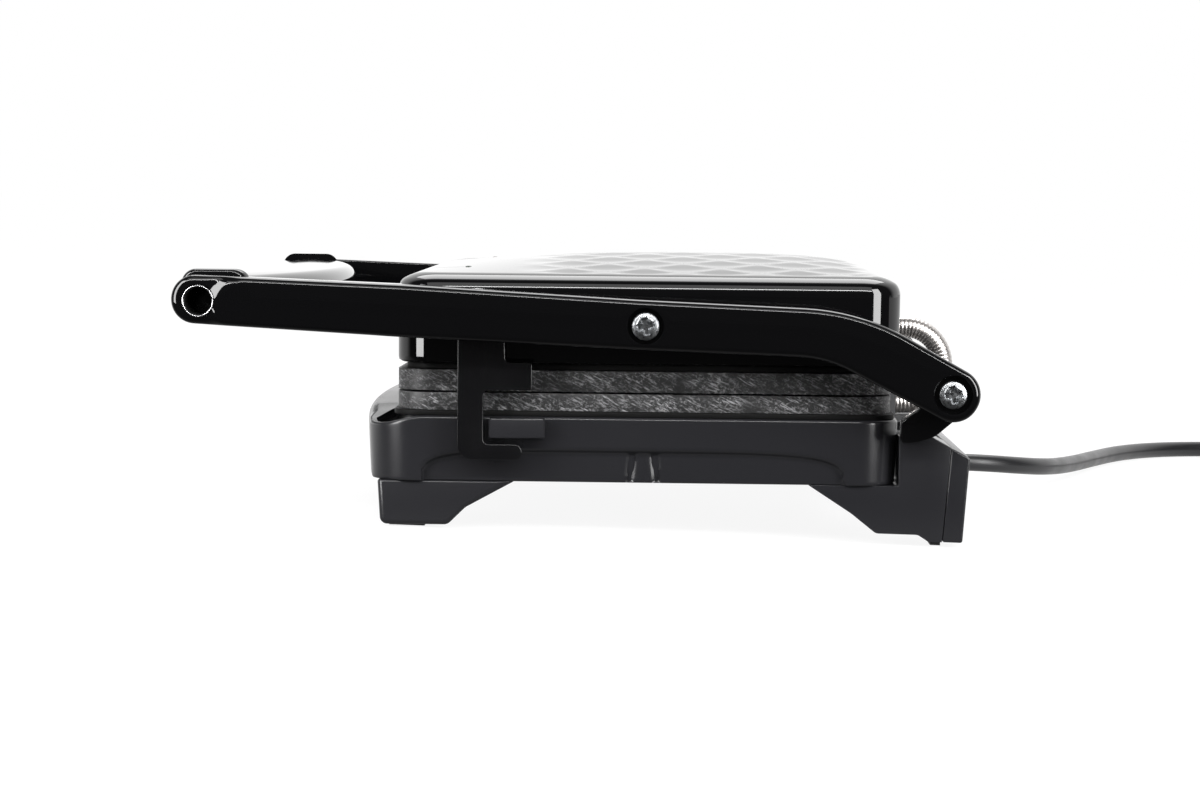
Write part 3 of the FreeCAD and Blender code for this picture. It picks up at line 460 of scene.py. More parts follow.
def face_loops(node, x):
    """The closed outlines of a CAD node's flat face at one X, longest first, as arrays of (y, z)."""
    points = level_points(node)
    flat = np.abs(points[:, 0] - x) < 0.01
    merged, place = {}, {}
    for index in np.flatnonzero(flat):
        key = tuple(np.round(points[index, 1:], 3))
        place[index] = merged.setdefault(key, len(merged))
    seen = {}
    for polygon in NODES[node].data.polygons:
        if all(flat[v] for v in polygon.vertices):
            corners = [place[v] for v in polygon.vertices]
            for a, b in zip(corners, corners[1:] + corners[:1]):
                if a != b:
                    seen[(min(a, b), max(a, b))] = seen.get((min(a, b), max(a, b)), 0) + 1
    beside = {}
    for (a, b), times in seen.items():
        if times == 1:
            beside.setdefault(a, []).append(b)
            beside.setdefault(b, []).append(a)
    places = list(merged)
    loops, left = [], set(beside)
    while left:
        loop = [left.pop()]
        while True:
            following = [other for other in beside[loop[-1]] if other in left]
            if not following:
                break
            loop.append(following[0])
            left.discard(following[0])
        loops.append(np.array([places[index] for index in loop]))
    loops.sort(key=lambda loop: -np.linalg.norm(loop - np.roll(loop, 1, 0), axis=1).sum())
    return loops


def evenly(loop, pitch):
    """The same closed outline with points about one pitch apart, anticlockwise."""
    area = np.sum(loop[:, 0] * np.roll(loop[:, 1], -1) - np.roll(loop[:, 0], -1) * loop[:, 1])
    if area < 0:
        loop = loop[::-1]
    closed = np.vstack([loop, loop[:1]])
    reach = np.concatenate([[0], np.cumsum(np.linalg.norm(np.diff(closed, axis=0), axis=1))])
    count = int(reach[-1] / pitch)
    spots = np.linspace(0, reach[-1], count, endpoint=False)
    return np.stack([np.interp(spots, reach, closed[:, k]) for k in (0, 1)], 1)


def outward(loop, reach=2):
    """Unit normals that point out of an anticlockwise outline, a little smoothed."""
    along = sum(np.roll(loop, -k, 0) - np.roll(loop, k, 0) for k in range(1, reach + 1))
    normal = np.stack([along[:, 1], -along[:, 0]], 1)
    return normal / np.linalg.norm(normal, axis=1)[:, None]


def ring_of(y, z, radius, steps=48):
    """Points (y, z) round a circle."""
    return [(y + radius * math.cos(math.tau * k / steps), z + radius * math.sin(math.tau * k / steps))
            for k in range(steps)]


def sheet_between(outline, holes, extra=()):
    """Triangles inside an outline and outside round holes (y, z, radius, steps). Returns points and faces."""
    points = [tuple(p) for p in outline]
    edges = [(k, (k + 1) % len(points)) for k in range(len(points))]
    for y, z, radius, steps in holes:
        first = len(points)
        points += ring_of(y, z, radius, steps)
        edges += [(first + k, first + (k + 1) % steps) for k in range(steps)]
    points += [tuple(p) for p in extra]
    made = delaunay_2d_cdt([Vector(p) for p in points], edges, [list(range(len(outline)))], 1, 1e-5)
    spots, faces = made[0], made[2]
    kept = []
    for face in faces:
        middle = sum((spots[k] for k in face), Vector((0, 0))) / len(face)
        if all((middle - Vector((y, z))).length > radius * 0.999 for y, z, radius, _ in holes):
            kept.append(tuple(face))
    return [(p.x, p.y) for p in spots], kept


class Builder:
    """Gathers vertices and faces of several patches that are welded afterwards."""

    def __init__(self):
        self.vertices, self.faces = [], []

    def add(self, vertices, faces):
        first = len(self.vertices)
        self.vertices += [tuple(v) for v in vertices]
        self.faces += [tuple(first + k for k in face) for face in faces]


# ---------------------------------------------------------------- cover

COVER_CORNER = 14.0
COVER_WALL = 24.3
FILLET_WIDE, FILLET_HIGH = 1.8, 2.6
SHOULDER_WIDE, SHOULDER_HIGH = 9, 3.4
DOME_HALF, DOME_HIGH = 112, 5.5
QUILT_Y, QUILT_X, QUILT_DEEP = 26.2, 36.0, 0.85
QUILT_FRONT, QUILT_REAR, QUILT_SIDE = (-60, -34), (57, 66), (103, 113)
SEAM_WIDE, SEAM_DEEP = 0.35, 0.3
GRID_PITCH = 1.25
LENS_RADIUS = 1.15


def cover_height(x, y, depth, front, rear, edge):
    """Height of the cover's top: a round edge, a shoulder and a low dome with sunk diamonds."""
    fillet = FILLET_HIGH * np.sqrt(1 - (1 - np.clip(depth / FILLET_WIDE, 0, 1)) ** 2)
    shoulder = SHOULDER_HIGH * (1 - (1 - np.clip(depth / SHOULDER_WIDE, 0, 1)) ** 2)
    across = 1 - np.clip(np.abs(x) / DOME_HALF, 0, 1) ** 1.5
    ahead = 1 - np.clip(-y / -front, 0, 1) ** 2.2
    behind = 1 - np.clip(y / rear, 0, 1) ** 4
    dome = DOME_HIGH * across * ahead * behind
    first, second = y / QUILT_Y + x / QUILT_X, y / QUILT_Y - x / QUILT_X
    dish = 1.0
    for slant in (first, second):
        dish = dish * (1 - (2 * (slant - np.floor(slant)) - 1) ** 2)
    lens = level_centre("pilot_lens_ready")
    strength = ease(*QUILT_FRONT, y) * (1 - ease(*QUILT_REAR, y)) * (1 - ease(*QUILT_SIDE, np.abs(x)))
    seam = np.clip(1 - np.abs(np.abs(x) - lens.x) / SEAM_WIDE, 0, 1) * (y < lens.y) * (depth > 1.0)
    return edge + fillet + shoulder + dome - QUILT_DEEP * dish * strength - SEAM_DEEP * seam


def cover_lines(low, high, seams=()):
    """Grid lines from one side to the other, close together at the round edges and at the seams."""
    near = [0, 0.05, 0.18, 0.4, 0.75, 1.2, 1.8, 2.7, 3.8, 5.2, 6.6, 8.0, 9.2]
    inner = list(np.arange(low + near[-1] + GRID_PITCH, high - near[-1], GRID_PITCH))
    lines = [low + step for step in near] + inner + [high - step for step in near]
    for place in seams:
        lines = [line for line in lines if abs(line - place) > 0.7]
        lines += [place + step * SEAM_WIDE for step in (-1.4, -1, -0.5, 0, 0.5, 1, 1.4)]
    return np.array(sorted(set(lines)))


def squeezed(x, y, x0, x1, y0, y1, corner):
    """Maps a rectangle's points into the same rectangle with round corners, and gives their depth inside."""
    mid_x, mid_y = (x0 + x1) / 2, (y0 + y1) / 2
    half_x, half_y = (x1 - x0) / 2, (y1 - y0) / 2
    side_x, side_y = np.sign(x - mid_x), np.sign(y - mid_y)
    over_x = np.clip((np.abs(x - mid_x) - (half_x - corner)) / corner, 0, 1)
    over_y = np.clip((np.abs(y - mid_y) - (half_y - corner)) / corner, 0, 1)
    both = (over_x > 0) & (over_y > 0)
    new_x = over_x * np.sqrt(1 - over_y ** 2 / 2)
    new_y = over_y * np.sqrt(1 - over_x ** 2 / 2)
    out_x = np.where(both, mid_x + side_x * (half_x - corner + corner * new_x), x)
    out_y = np.where(both, mid_y + side_y * (half_y - corner + corner * new_y), y)
    flat = np.minimum(half_x - np.abs(x - mid_x), half_y - np.abs(y - mid_y))
    round_ = corner * (1 - np.hypot(new_x, new_y))
    return out_x, out_y, np.where(both, round_, flat)


def cover():
    """The cover: a fine height field on top, and walls that turn in at the foot. It is hollow below."""
    low, high = level_box("cover_shell")
    front, rear, foot = low.y, high.y, low.z
    edge = foot + COVER_WALL
    lens = level_centre("pilot_lens_ready")
    xs = cover_lines(low.x, high.x, (-lens.x, lens.x))
    ys = cover_lines(front, rear)
    grid_x, grid_y = np.meshgrid(xs, ys, indexing="ij")
    x, y, depth = squeezed(grid_x, grid_y, low.x, high.x, front, rear, COVER_CORNER)
    z = cover_height(x, y, depth, front, rear, edge)
    rows, columns = x.shape
    work = Builder()
    corners = [i * columns + j for i in range(rows - 1) for j in range(columns - 1)]
    work.add(np.stack([x, y, z], 2).reshape(-1, 3),
             [(a, a + columns, a + columns + 1, a + 1) for a in corners])
    rim = [(i, 0) for i in range(rows)]
    rim += [(rows - 1, j) for j in range(1, columns)]
    rim += [(i, columns - 1) for i in range(rows - 2, -1, -1)]
    rim += [(0, j) for j in range(columns - 2, 0, -1)]
    points = np.array([[x[i, j], y[i, j]] for i, j in rim])
    core = np.stack([
        np.clip(points[:, 0], low.x + COVER_CORNER, high.x - COVER_CORNER),
        np.clip(points[:, 1], front + COVER_CORNER, rear - COVER_CORNER),
    ], 1)
    inward = core - points
    inward /= np.linalg.norm(inward, axis=1)[:, None]
    wall = [
        (0, edge), (0.01, edge - 1.5), (0.03, edge - 6), (0.07, edge - 14), (0.11, foot + 2.1),
        (0.12, foot + 1.6), (0.3, foot + 0.7),
        (0.95, foot + 0.25), (1.5, foot), (2.5, foot), (2.7, foot + 0.4), (2.7, edge - 2), (4.0, edge - 0.5),
    ]
    rings = []
    for inset, height in wall:
        ring = points + inward * inset
        rings.append([(p[0], p[1], height) for p in ring])
    vertices, sides = loft(rings)
    sides.append(tuple(range(len(vertices) - len(points), len(vertices))))
    work.add(vertices, sides)
    piece_from("cover_quilted", work.vertices, work.faces, PAINTS["gloss_black"], "cover", "gloss_black",
               ["cover_shell"], sharp=28)


def pilot_lens(node, slot, side):
    """A small domed lens in a thin seat, flush with the cover's shoulder."""
    lens = level_centre("pilot_lens_ready")
    low, high = level_box("cover_shell")
    x, y = side * lens.x, lens.y
    beside_seam, depth = np.array(x + 2.0), np.array(high.x - lens.x)
    z = float(cover_height(beside_seam, np.array(y), depth, low.y, high.y, low.z + COVER_WALL))
    radius = LENS_RADIUS
    profile = [(0.9 * radius, -4.0), (radius, -1.0), (radius, 0.05), (0.86 * radius, 0.2),
               (0.5 * radius, 0.34), (0.06, 0.4)]
    vertices, faces = lathe(profile, (x, y, z), (0, 0, 1), 32)
    piece_from(node + "_dome", vertices, faces, PAINTS[slot], "cover", slot, [node])


# ---------------------------------------------------------------- base

BASE_CORNER, BASE_BOW = 14.0, 9.0
BASE_LEDGE, BASE_RIM, BASE_DRAFT = 5.6, 2.7, 0.75
BASE_PITCH, WALL_ROWS = 0.9, 40
PANEL_HIGH, PANEL_DEEP = 11.7, 2.1
PANEL_FRONT, PANEL_REAR, PANEL_ROUND = 17, 18.5, 4.5
SLOT_DEEP = 1.1
SLOTS = ((-16.4, 0.07), (-8.8, -0.07))  # where each slot stands, and how it leans


def base_housing():
    """The housing's wall: it narrows downwards, its front bows out under a ledge, its sides are sunk."""
    low, high = level_box("base_shell")
    half, rear, foot, top = high.x, high.y, low.z, high.z
    front = low.y + BASE_BOW
    points, normals = rounded_plan(-half, half, front, rear, BASE_CORNER, BASE_PITCH)
    ahead = points[:, 1] < 0
    points[ahead, 1] -= BASE_BOW * (1 - (points[ahead, 0] / half) ** 2)
    along = np.roll(points, -1, 0) - np.roll(points, 1, 0)
    normals = np.stack([along[:, 1], -along[:, 0]], 1)
    normals /= np.linalg.norm(normals, axis=1)[:, None]
    x, y = np.abs(points[:, 0]), points[:, 1]
    inner_edge = front + BASE_LEDGE
    ledge = np.where(y < inner_edge, (inner_edge - y) / np.clip(-normals[:, 1], 0.3, 1), 0)
    ledge = np.maximum(ledge * (1 - ease(80, 113, x)), BASE_RIM)
    forward = ease(BASE_RIM, 9, ledge)
    dip = 3.0 * ease(86, 104, -y) * ease(70, 113, x)
    crown = top + 0.1 + 0.5 * forward - dip
    rings = []

    def ring(inset, height):
        """One turn round the wall, moved in by an inset, at a height."""
        moved = points - normals * np.asarray(inset)[..., None]
        rings.append(np.stack([moved[:, 0], moved[:, 1], np.broadcast_to(height, len(points))], 1))

    ones = np.ones(len(points))
    ring(1.9 * ones, foot + 0.2)
    ring(1.5 * ones, foot)
    ring(1.1 * ones, foot + 0.1)
    ring(0.85 * ones, foot + 0.5)
    fillet = 1.0 + 2.6 * forward
    shoulder = crown - fillet
    for row in range(WALL_ROWS):
        share = row / (WALL_ROWS - 1)
        height = foot + 1.0 + (shoulder - foot - 1.0) * share
        ring(BASE_DRAFT * (1 - share) ** 1.2 * ones, height)
    for step in range(1, 7):
        angle = step / 6 * math.pi / 2
        ring(fillet * (1 - math.cos(angle)), shoulder + fillet * math.sin(angle))
    inset = np.maximum(ledge, fillet + 0.6)
    ring(fillet + 0.5 * (inset - fillet), crown + 0.25 * forward)
    ring(inset - 0.25, crown + 0.3 * forward)
    ring(inset, crown + 0.3 * forward - 0.3)
    ring(inset + 0.15, crown - 5)
    ring(np.full(len(points), 3.2), foot + 6)
    vertices, faces = loft(rings, closed_rings=True)
    vertices = np.array(vertices)
    vertices[:, 0] -= np.sign(vertices[:, 0]) * side_relief(vertices, half, foot, front, rear)
    piece_from("base_housing", vertices, faces, PAINTS["base_plastic"], "base", "base_plastic",
               ["base_shell"], sharp=50)


def side_relief(points, half, foot, front, rear):
    """How far each side's lower panel and the two slots of its rib sink in."""
    x, y, z = np.abs(points[:, 0]), points[:, 1], points[:, 2]
    middle = (front + PANEL_FRONT + rear - PANEL_REAR) / 2
    reach = (rear - PANEL_REAR - front - PANEL_FRONT) / 2
    across = np.clip(np.abs(y - middle) / reach, 0, 1)
    brow = foot + PANEL_HIGH * (1 - across ** PANEL_ROUND) ** (1 / PANEL_ROUND)
    panel = PANEL_DEEP * ease(0, 2.3, brow - z) * (across < 1)
    slots = 0
    for centre, lean in SLOTS:
        off = np.abs(y - centre - lean * (z - foot - 10))
        below = (1 - ease(9.4, 10.2, z - foot)) * (z > foot + 0.4)
        slots = slots + SLOT_DEEP * (1 - ease(0.7, 1.4, off)) * below
    return (panel + slots) * (x > half - 2.05)


# ---------------------------------------------------------------- arms

ARM_PITCH = 1.1
INNER_EDGE = 0.7
NOSE_FROM, NOSE_TO = -159, -149
FLAT_END_Y, FLAT_END_RADIUS = -145.6, 7.4
NOSE_FALL, NOSE_FALL_OVER = 1.5, 4.6
TUBE_BORE, TUBE_CHAMFER = 5.3, 0.25
RUNNING_BORE, LATCH_BORE, LATCH_BORE_DEEP = 3.58, 1.55, 7
TILT_RECESS, HINGE_RECESS = 5.9, 6.3
RECESS_BEVEL, RECESS_DEEP = 0.32, 3.4


def arm_piece(side):
    """An arm with a round outer edge, a domed nose and the two screw recesses."""
    node = "arm_right" if side > 0 else "arm_left"
    low, high = level_box("arm_right")
    inner, outer = low.x, high.x
    outline = evenly(face_loops("arm_right", inner)[0], ARM_PITCH)
    normals = outward(outline)
    nose = 1 - ease(NOSE_FROM, NOSE_TO, outline[:, 0])
    width = 2.0 + 0.55 * nose
    depth = 2.2 + 1.2 * nose
    tube = level_centre("grip_tube")
    flat_end_z = tube.z - 2.0

    def facing(y, z):
        """How much the outer face falls away round the flat panel's rounded end."""
        if y >= FLAT_END_Y:
            return 0.0
        beyond = math.hypot(y - FLAT_END_Y, z - flat_end_z) - FLAT_END_RADIUS
        return NOSE_FALL * float(ease(0, NOSE_FALL_OVER, beyond))

    work = Builder()
    rings = []
    for step in range(5):
        angle = step / 4 * math.pi / 2
        ring = outline - normals * (INNER_EDGE * (1 - math.sin(angle)))
        rings.append([(inner + INNER_EDGE * (1 - math.cos(angle)), p[0], p[1]) for p in ring])
    for step in range(9):
        angle = step / 8 * math.pi / 2
        ring = outline - normals * (width * (1 - math.cos(angle)))[:, None]
        height = outer - depth * (1 - math.sin(angle))
        rings.append([(h - facing(*p) * math.sin(angle), p[0], p[1]) for h, p in zip(height, ring)])
    work.add(*loft(rings))
    tilt, hinge = joint_level("cover_tilt"), joint_level("handle_hinge")
    swing = joint_level("latch_swing")
    recesses = ((tilt, TILT_RECESS), (hinge, HINGE_RECESS))

    outer_loop = outline - normals * width[:, None]
    holes = [(tube.y, tube.z, TUBE_BORE + TUBE_CHAMFER, 64)]
    holes += [(c.y, c.z, radius + RECESS_BEVEL, 64) for c, radius in recesses]
    extra = [(y, z) for y in np.arange(-158, -143, 0.7) for z in np.arange(tube.z - 7, tube.z + 7, 0.7)
             if math.hypot(y - tube.y, z - tube.z) > TUBE_BORE + 1
             and np.min(np.hypot(outer_loop[:, 0] - y, outer_loop[:, 1] - z)) > 0.6]
    spots, faces = sheet_between(outer_loop, holes, extra)
    work.add([(outer - facing(y, z), y, z) for y, z in spots], faces)
    inner_holes = [(tube.y, tube.z, TUBE_BORE, 64), (tilt.y, tilt.z, RUNNING_BORE, 48),
                   (hinge.y, hinge.z, RUNNING_BORE, 48), (swing.y, swing.z, LATCH_BORE, 32)]
    spots, faces = sheet_between(outline - normals * INNER_EDGE, inner_holes)
    work.add([(inner, y, z) for y, z in spots], faces)

    def bore(y, z, stations, steps):
        """A hole's wall through stations of (x or None for the face, radius)."""
        walls = []
        for x, radius in stations:
            ring = ring_of(y, z, radius, steps)
            walls.append([(outer - facing(*p) if x is None else x, p[0], p[1]) for p in ring])
        work.add(*loft(walls))

    bore(tube.y, tube.z,
         [(None, TUBE_BORE + TUBE_CHAMFER), (outer - 2.0, TUBE_BORE), (inner, TUBE_BORE)], 64)
    floor_x = outer - RECESS_DEEP
    for centre, radius in recesses:
        y, z = centre.y, centre.z
        bore(y, z, [(None, radius + RECESS_BEVEL), (outer - RECESS_BEVEL, radius), (floor_x, radius)], 64)
        spots, faces = sheet_between(ring_of(y, z, radius, 64), [(y, z, RUNNING_BORE, 48)])
        work.add([(floor_x, *spot) for spot in spots], faces)
        bore(y, z, [(floor_x, RUNNING_BORE), (inner, RUNNING_BORE)], 48)
    blind_end = inner + LATCH_BORE_DEEP
    bore(swing.y, swing.z, [(inner, LATCH_BORE), (blind_end, LATCH_BORE)], 32)
    work.add([(blind_end, *spot) for spot in ring_of(swing.y, swing.z, LATCH_BORE, 32)], [tuple(range(32))])
    vertices = [(side * v[0], v[1], v[2]) for v in work.vertices]
    piece_from(node + "_moulded", vertices, work.faces, PAINTS["gloss_black"], "handle", "gloss_black",
               [node], sharp=32)


# ---------------------------------------------------------------- grip

GRIP_END_WIDE = 22
GRIP_EDGE, GRIP_ROUND = 1.8, 5.0
GRIP_RIM_RISE, GRIP_DIP, GRIP_CROWN = 0.4, 1.9, 0.5
GRIP_ARC_STEPS, GRIP_TOP_STEPS = 9, 12


def grip():
    """The front bar: crowned, bowed towards the cover, with a raised rim at each end."""
    low, high = level_box("grip")
    half, front, floor, top = high.x, low.y, low.z, high.z
    rear_end, rear_middle = front + GRIP_END_WIDE, high.y
    stations = [0, 0.3, 0.9, 1.8, 2.8, 3.4, 4.2, 4.8, 5.6, 7.0]
    xs = sorted({round(side * (half - step), 3) for side in (-1, 1) for step in stations}
                | {round(x, 3) for x in np.linspace(-half + 9, half - 9, 60)})
    rings = []
    for x in xs:
        away = max(0.0, half - abs(x))
        from_edge = 1 - min(away, GRIP_EDGE) / GRIP_EDGE
        shrink = 0.9 * (1 - math.sqrt(1 - from_edge ** 2))
        rim = 1 - float(ease(3.4, 4.8, away))
        crown = top - GRIP_DIP + (GRIP_DIP + GRIP_RIM_RISE) * rim - shrink
        back = rear_end + (rear_middle - rear_end) * (1 - (x / half) ** 2) - shrink
        y0, z0, r = front + shrink, floor + shrink, GRIP_ROUND
        ring = []
        corners = ((back - r, crown - r), (y0 + r, crown - r), (y0 + r, z0 + r), (back - r, z0 + r))
        for quarter, (centre_y, centre_z) in enumerate(corners):
            for step in range(GRIP_ARC_STEPS + 1):
                angle = (quarter + step / GRIP_ARC_STEPS) * math.pi / 2
                ring.append((x, centre_y + r * math.cos(angle), centre_z + r * math.sin(angle)))
            if quarter == 0:
                for step in range(1, GRIP_TOP_STEPS):
                    share = step / GRIP_TOP_STEPS
                    y = back - r + (y0 + r - back + r) * share
                    ring.append((x, y, crown + GRIP_CROWN * math.sin(share * math.pi) * (1 - rim)))
        rings.append(ring)
    piece_from("grip_bar", *capped(rings), PAINTS["gloss_black"], "handle", "gloss_black", ["grip"], sharp=35)


# ---------------------------------------------------------------- hose

HOSE_PITCH, HOSE_WAVE = 1.3, 0.15
HOSE_STEP, HOSE_SIDES = 0.17, 28
HOSE_SPLIT = math.radians(-28)


def hose():
    """The corrugated steel hose, in two pieces that meet on the handle's axis."""
    bottom = level_box("conduit_lower")[0].z
    low, high = level_box("conduit_upper")
    x, start = (low.x + high.x) / 2, low.y
    radius = (high.x - low.x) / 2
    centre_z = (bottom + high.z) / 2
    bend = (high.z - bottom) / 2 - radius
    centre_y = high.y - radius - bend
    straight = centre_y - start
    across = Vector((1, 0, 0))
    for name, node, sign, bodies in (
        ("hose_lower", "conduit_lower", -1, ("base", "handle")),
        ("hose_upper", "conduit_upper", 1, ("cover", "handle")),
    ):
        sweep = abs(sign * math.pi / 2 - HOSE_SPLIT)
        total = straight + bend * sweep
        count = int(total / HOSE_STEP)
        rings = []
        for step in range(count + 1):
            reach = total * step / count
            wave = 0.5 - 0.5 * math.cos(math.tau * reach / HOSE_PITCH)
            girth = radius - HOSE_WAVE + HOSE_WAVE * wave ** 0.6
            if reach < straight:
                spot = Vector((x, start + reach, centre_z + sign * bend))
                side = Vector((0, 0, 1))
            else:
                angle = sign * (math.pi / 2 - (reach - straight) / bend)
                side = Vector((0, math.cos(angle), math.sin(angle)))
                spot = Vector((x, centre_y, centre_z)) + bend * side
            turns = [math.tau * k / HOSE_SIDES for k in range(HOSE_SIDES)]
            rings.append([spot + girth * (math.cos(turn) * across + math.sin(turn) * side) for turn in turns])
        piece = piece_from(name, *capped(rings), PAINTS["hose_steel"], None, "hose_steel", [node], sharp=60)
        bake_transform(piece)


# ---------------------------------------------------------------- screws

HEAD_RADIUS, HEAD_HIGH, SHANK_RADIUS = 4.6, 2.6, 2.5
HEAD_RINGS, HEAD_SIDES = 34, 96
RECESS_LONG, RECESS_WIDE, RECESS_SHARE = 0.66, 0.165, 0.62


def screw(centre, side, seat, tip):
    """A pan head with a cross recess, as a fine height field, on its shank."""
    radius, height, around = HEAD_RADIUS, HEAD_HIGH, HEAD_SIDES
    arm_long, arm_wide = RECESS_LONG * radius, RECESS_WIDE * radius

    def face(y, z):
        """Height of the head above its seat."""
        r = math.hypot(y, z) / radius
        pan = height * (1 - 0.28 * r ** 4) if r < 0.9 else height * (0.816 - 4.6 * (r - 0.9) ** 1.6)
        pan -= 0.05 * float(ease(0.62, 0.7, r)) * height
        y, z = abs(y), abs(z)
        long_, wide = max(y, z), min(y, z)
        across, along = 1 - ease(arm_wide, arm_wide * 1.6, wide), 1 - ease(arm_long * 0.86, arm_long, long_)
        heart = float(1 - ease(arm_wide * 1.6, arm_wide * 2.7, math.hypot(y, z)))
        return pan - RECESS_SHARE * height * max(float(across * along), heart)

    spin = math.radians(12 if side > 0 else 40)
    brim = 0.12 * height
    vertices = [(0, 0, face(0, 0))]
    for ring in range(1, HEAD_RINGS + 1):
        r = radius * (ring / HEAD_RINGS)
        for k in range(around):
            angle = math.tau * k / around
            y, z = r * math.cos(angle), r * math.sin(angle)
            vertices.append((y * math.cos(spin) - z * math.sin(spin),
                             y * math.sin(spin) + z * math.cos(spin), max(face(y, z), brim)))
    shank = SHANK_RADIUS
    for r, depth in ((radius, 0), (shank, 0), (shank, tip + 0.6), (shank - 0.6, tip)):
        for k in range(around):
            angle = math.tau * k / around + spin
            vertices.append((r * math.cos(angle), r * math.sin(angle), depth))
    faces = [(0, 1 + k, 1 + (k + 1) % around) for k in range(around)]
    for first in range(1, len(vertices) - around, around):
        for k in range(around):
            a, b = first + k, first + (k + 1) % around
            faces.append((a, a + around, b + around, b))
    faces.append(tuple(range(len(vertices) - around, len(vertices))))
    moved = [(side * (seat + v[2]), centre.y + v[0], centre.z + v[1]) for v in vertices]
    return moved, faces


def pivot_screws(node, joint, body):
    """The two screws of one joint, in one piece."""
    seat = level_box(node)[1].x - HEAD_HIGH
    work = Builder()
    for side in (1, -1):
        work.add(*screw(joint_level(joint), side, seat, innermost_x(node) - seat))
    piece_from(node + "_pan", work.vertices, work.faces, PAINTS["zinc_steel"], body, "zinc_steel", [node],
               sharp=38)


def tube():
    """The tube through the grip, with rolled lips, and a black sheet in its bore that is painted shade and
    closes its ends to the eye.
    """
    low, high = level_box("grip_tube")
    centre = (low + high) / 2
    outer, wall, end = (high.y - low.y) / 2, 0.5, high.x
    lip = wall / 2
    middle = outer - lip
    profile = []
    for side in (1, -1):
        for step in range(9):
            angle = math.pi * step / 8
            bulge = lip * math.sin(angle)
            profile.append((middle + side * lip * math.cos(angle), side * (end - lip + bulge)))
    rings = []
    for radius, along in profile:
        rings.append([(along, y, z) for y, z in ring_of(centre.y, centre.z, radius, 64)])
    vertices, faces = loft(rings, closed_rings=True)
    piece_from("tube_steel", vertices, faces, PAINTS["tube_chrome"], "handle", "tube_chrome", ["grip_tube"])
    bore = outer - wall
    # A black sheet just inside the bore: painted shade for the tube's dark inside.
    bore_shade_sheet = [(bore - 0.02, -end + 0.9), (bore - 0.02, end - 0.9), (bore - 0.3, end - 1.1),
              (bore - 0.3, -end + 1.1)]
    rings = [[(along, y, z) for y, z in ring_of(centre.y, centre.z, radius)] for radius, along in bore_shade_sheet]
    vertices, faces = loft(rings, closed_rings=True)
    piece_from("tube_bore_painted_shade", vertices, faces, PAINTS["seat_black"], "handle", "seat_black", [])


def keeper():
    """The latch's keeper: a block on the housing's side with a faint crease down its face."""
    low, high = level_box("latch_keeper")
    crease = low.y + 0.47 * (high.y - low.y)
    plan = [(low.x, low.y), (high.x - 0.9, low.y), (high.x - 0.35, low.y + 0.6), (high.x, crease),
            (high.x - 1.5, high.y - 0.5), (high.x - 2.0, high.y), (low.x, high.y)]
    rings = []
    for inset, z in ((0.45, low.z), (0.12, low.z + 0.12), (0, low.z + 0.45), (0, high.z - 0.8),
                     (0.2, high.z - 0.2), (0.8, high.z)):
        rings.append([(max(low.x, x - inset), y + inset * ((y < crease) - (y > crease)), z) for x, y in plan])
    piece_from("keeper_block", *capped(rings), PAINTS["base_plastic"], "base", "base_plastic",
               ["latch_keeper"], sharp=20)


BOTTOM_SHARE = 0.982  # of the CAD's width


def bottom_plate():
    """The sheet steel bottom, kept clear of the sunk side panels."""
    piece = softened("bottom_cover", 0.15)
    piece.data.transform(Matrix.Scale(BOTTOM_SHARE, 4, (1, 0, 0)))


cover()
pilot_lens("pilot_lens_ready", "lens_green", 1)
pilot_lens("pilot_lens_power", "lens_red", -1)
base_housing()
for side in (1, -1):
    arm_piece(side)
grip()
hose()
pivot_screws("tilt_screws", "cover_tilt", "cover")
pivot_screws("hinge_screws", "handle_hinge", "base")
keeper()
bottom_plate()
tube()
for node, width in (
    ("front_foot_right", 1.0), ("front_foot_left", 1.0), ("rear_leg_right", 1.0), ("rear_leg_left", 1.0),
    ("rear_panel", 0.9), ("hinge_ear_right", 0.8), ("hinge_ear_left", 0.8),
    ("lower_plate", 0.7), ("upper_plate", 0.7), ("latch", 0.22), ("lower_seat", 0.4), ("upper_seat", 0.4),
):
    softened(node, width)


# ---------------------------------------------------------------- mains cord

# The route that the CAD's cord follows too, in metres.
CORD_ROUTE = [
    (-0.104, 0.14175, 0.00924), (-0.104, 0.1536, 0.00954), (-0.1074, 0.1663, 0.009), (-0.1146, 0.1776, 0.008),
    (-0.1259, 0.1873, 0.0069), (-0.1436, 0.1958, 0.0058), (-0.1725, 0.2066, 0.0046), (-0.211, 0.22, 0.0037),
    (-0.253, 0.2382, 0.0035), (-0.2812, 0.2605, 0.0035), (-0.2965, 0.2885, 0.0035), (-0.3003, 0.314, 0.0035),
    (-0.3, 0.338, 0.0035),
]
CORD_TAIL = [
    (-0.3, 0.342, 0.0105), (-0.3003, 0.353, 0.0117), (-0.301, 0.364, 0.0136), (-0.301, 0.373, 0.0136),
]
CORD_RADIUS = 0.0035
COIL_TURNS = 2
COIL_STEPS = 16


def coil_points():
    """Two turns clockwise from the near side of the coil, the second on top of the first."""
    low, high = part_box("cord_coil")
    centre = (low + high) / 2
    radius = (high.x - low.x) / 2 - CORD_RADIUS
    points = []
    for step in range(1, COIL_TURNS * COIL_STEPS):
        turn = step / COIL_STEPS
        angle = math.pi - turn * math.tau
        lift = CORD_RADIUS * (1 + 2 * float(ease(0.8, 1.2, turn)))
        swell = radius * (1 + 0.012 * math.sin(3.1 * turn))
        points.append((centre.x + swell * math.cos(angle), centre.y + swell * math.sin(angle), lift))
    return points


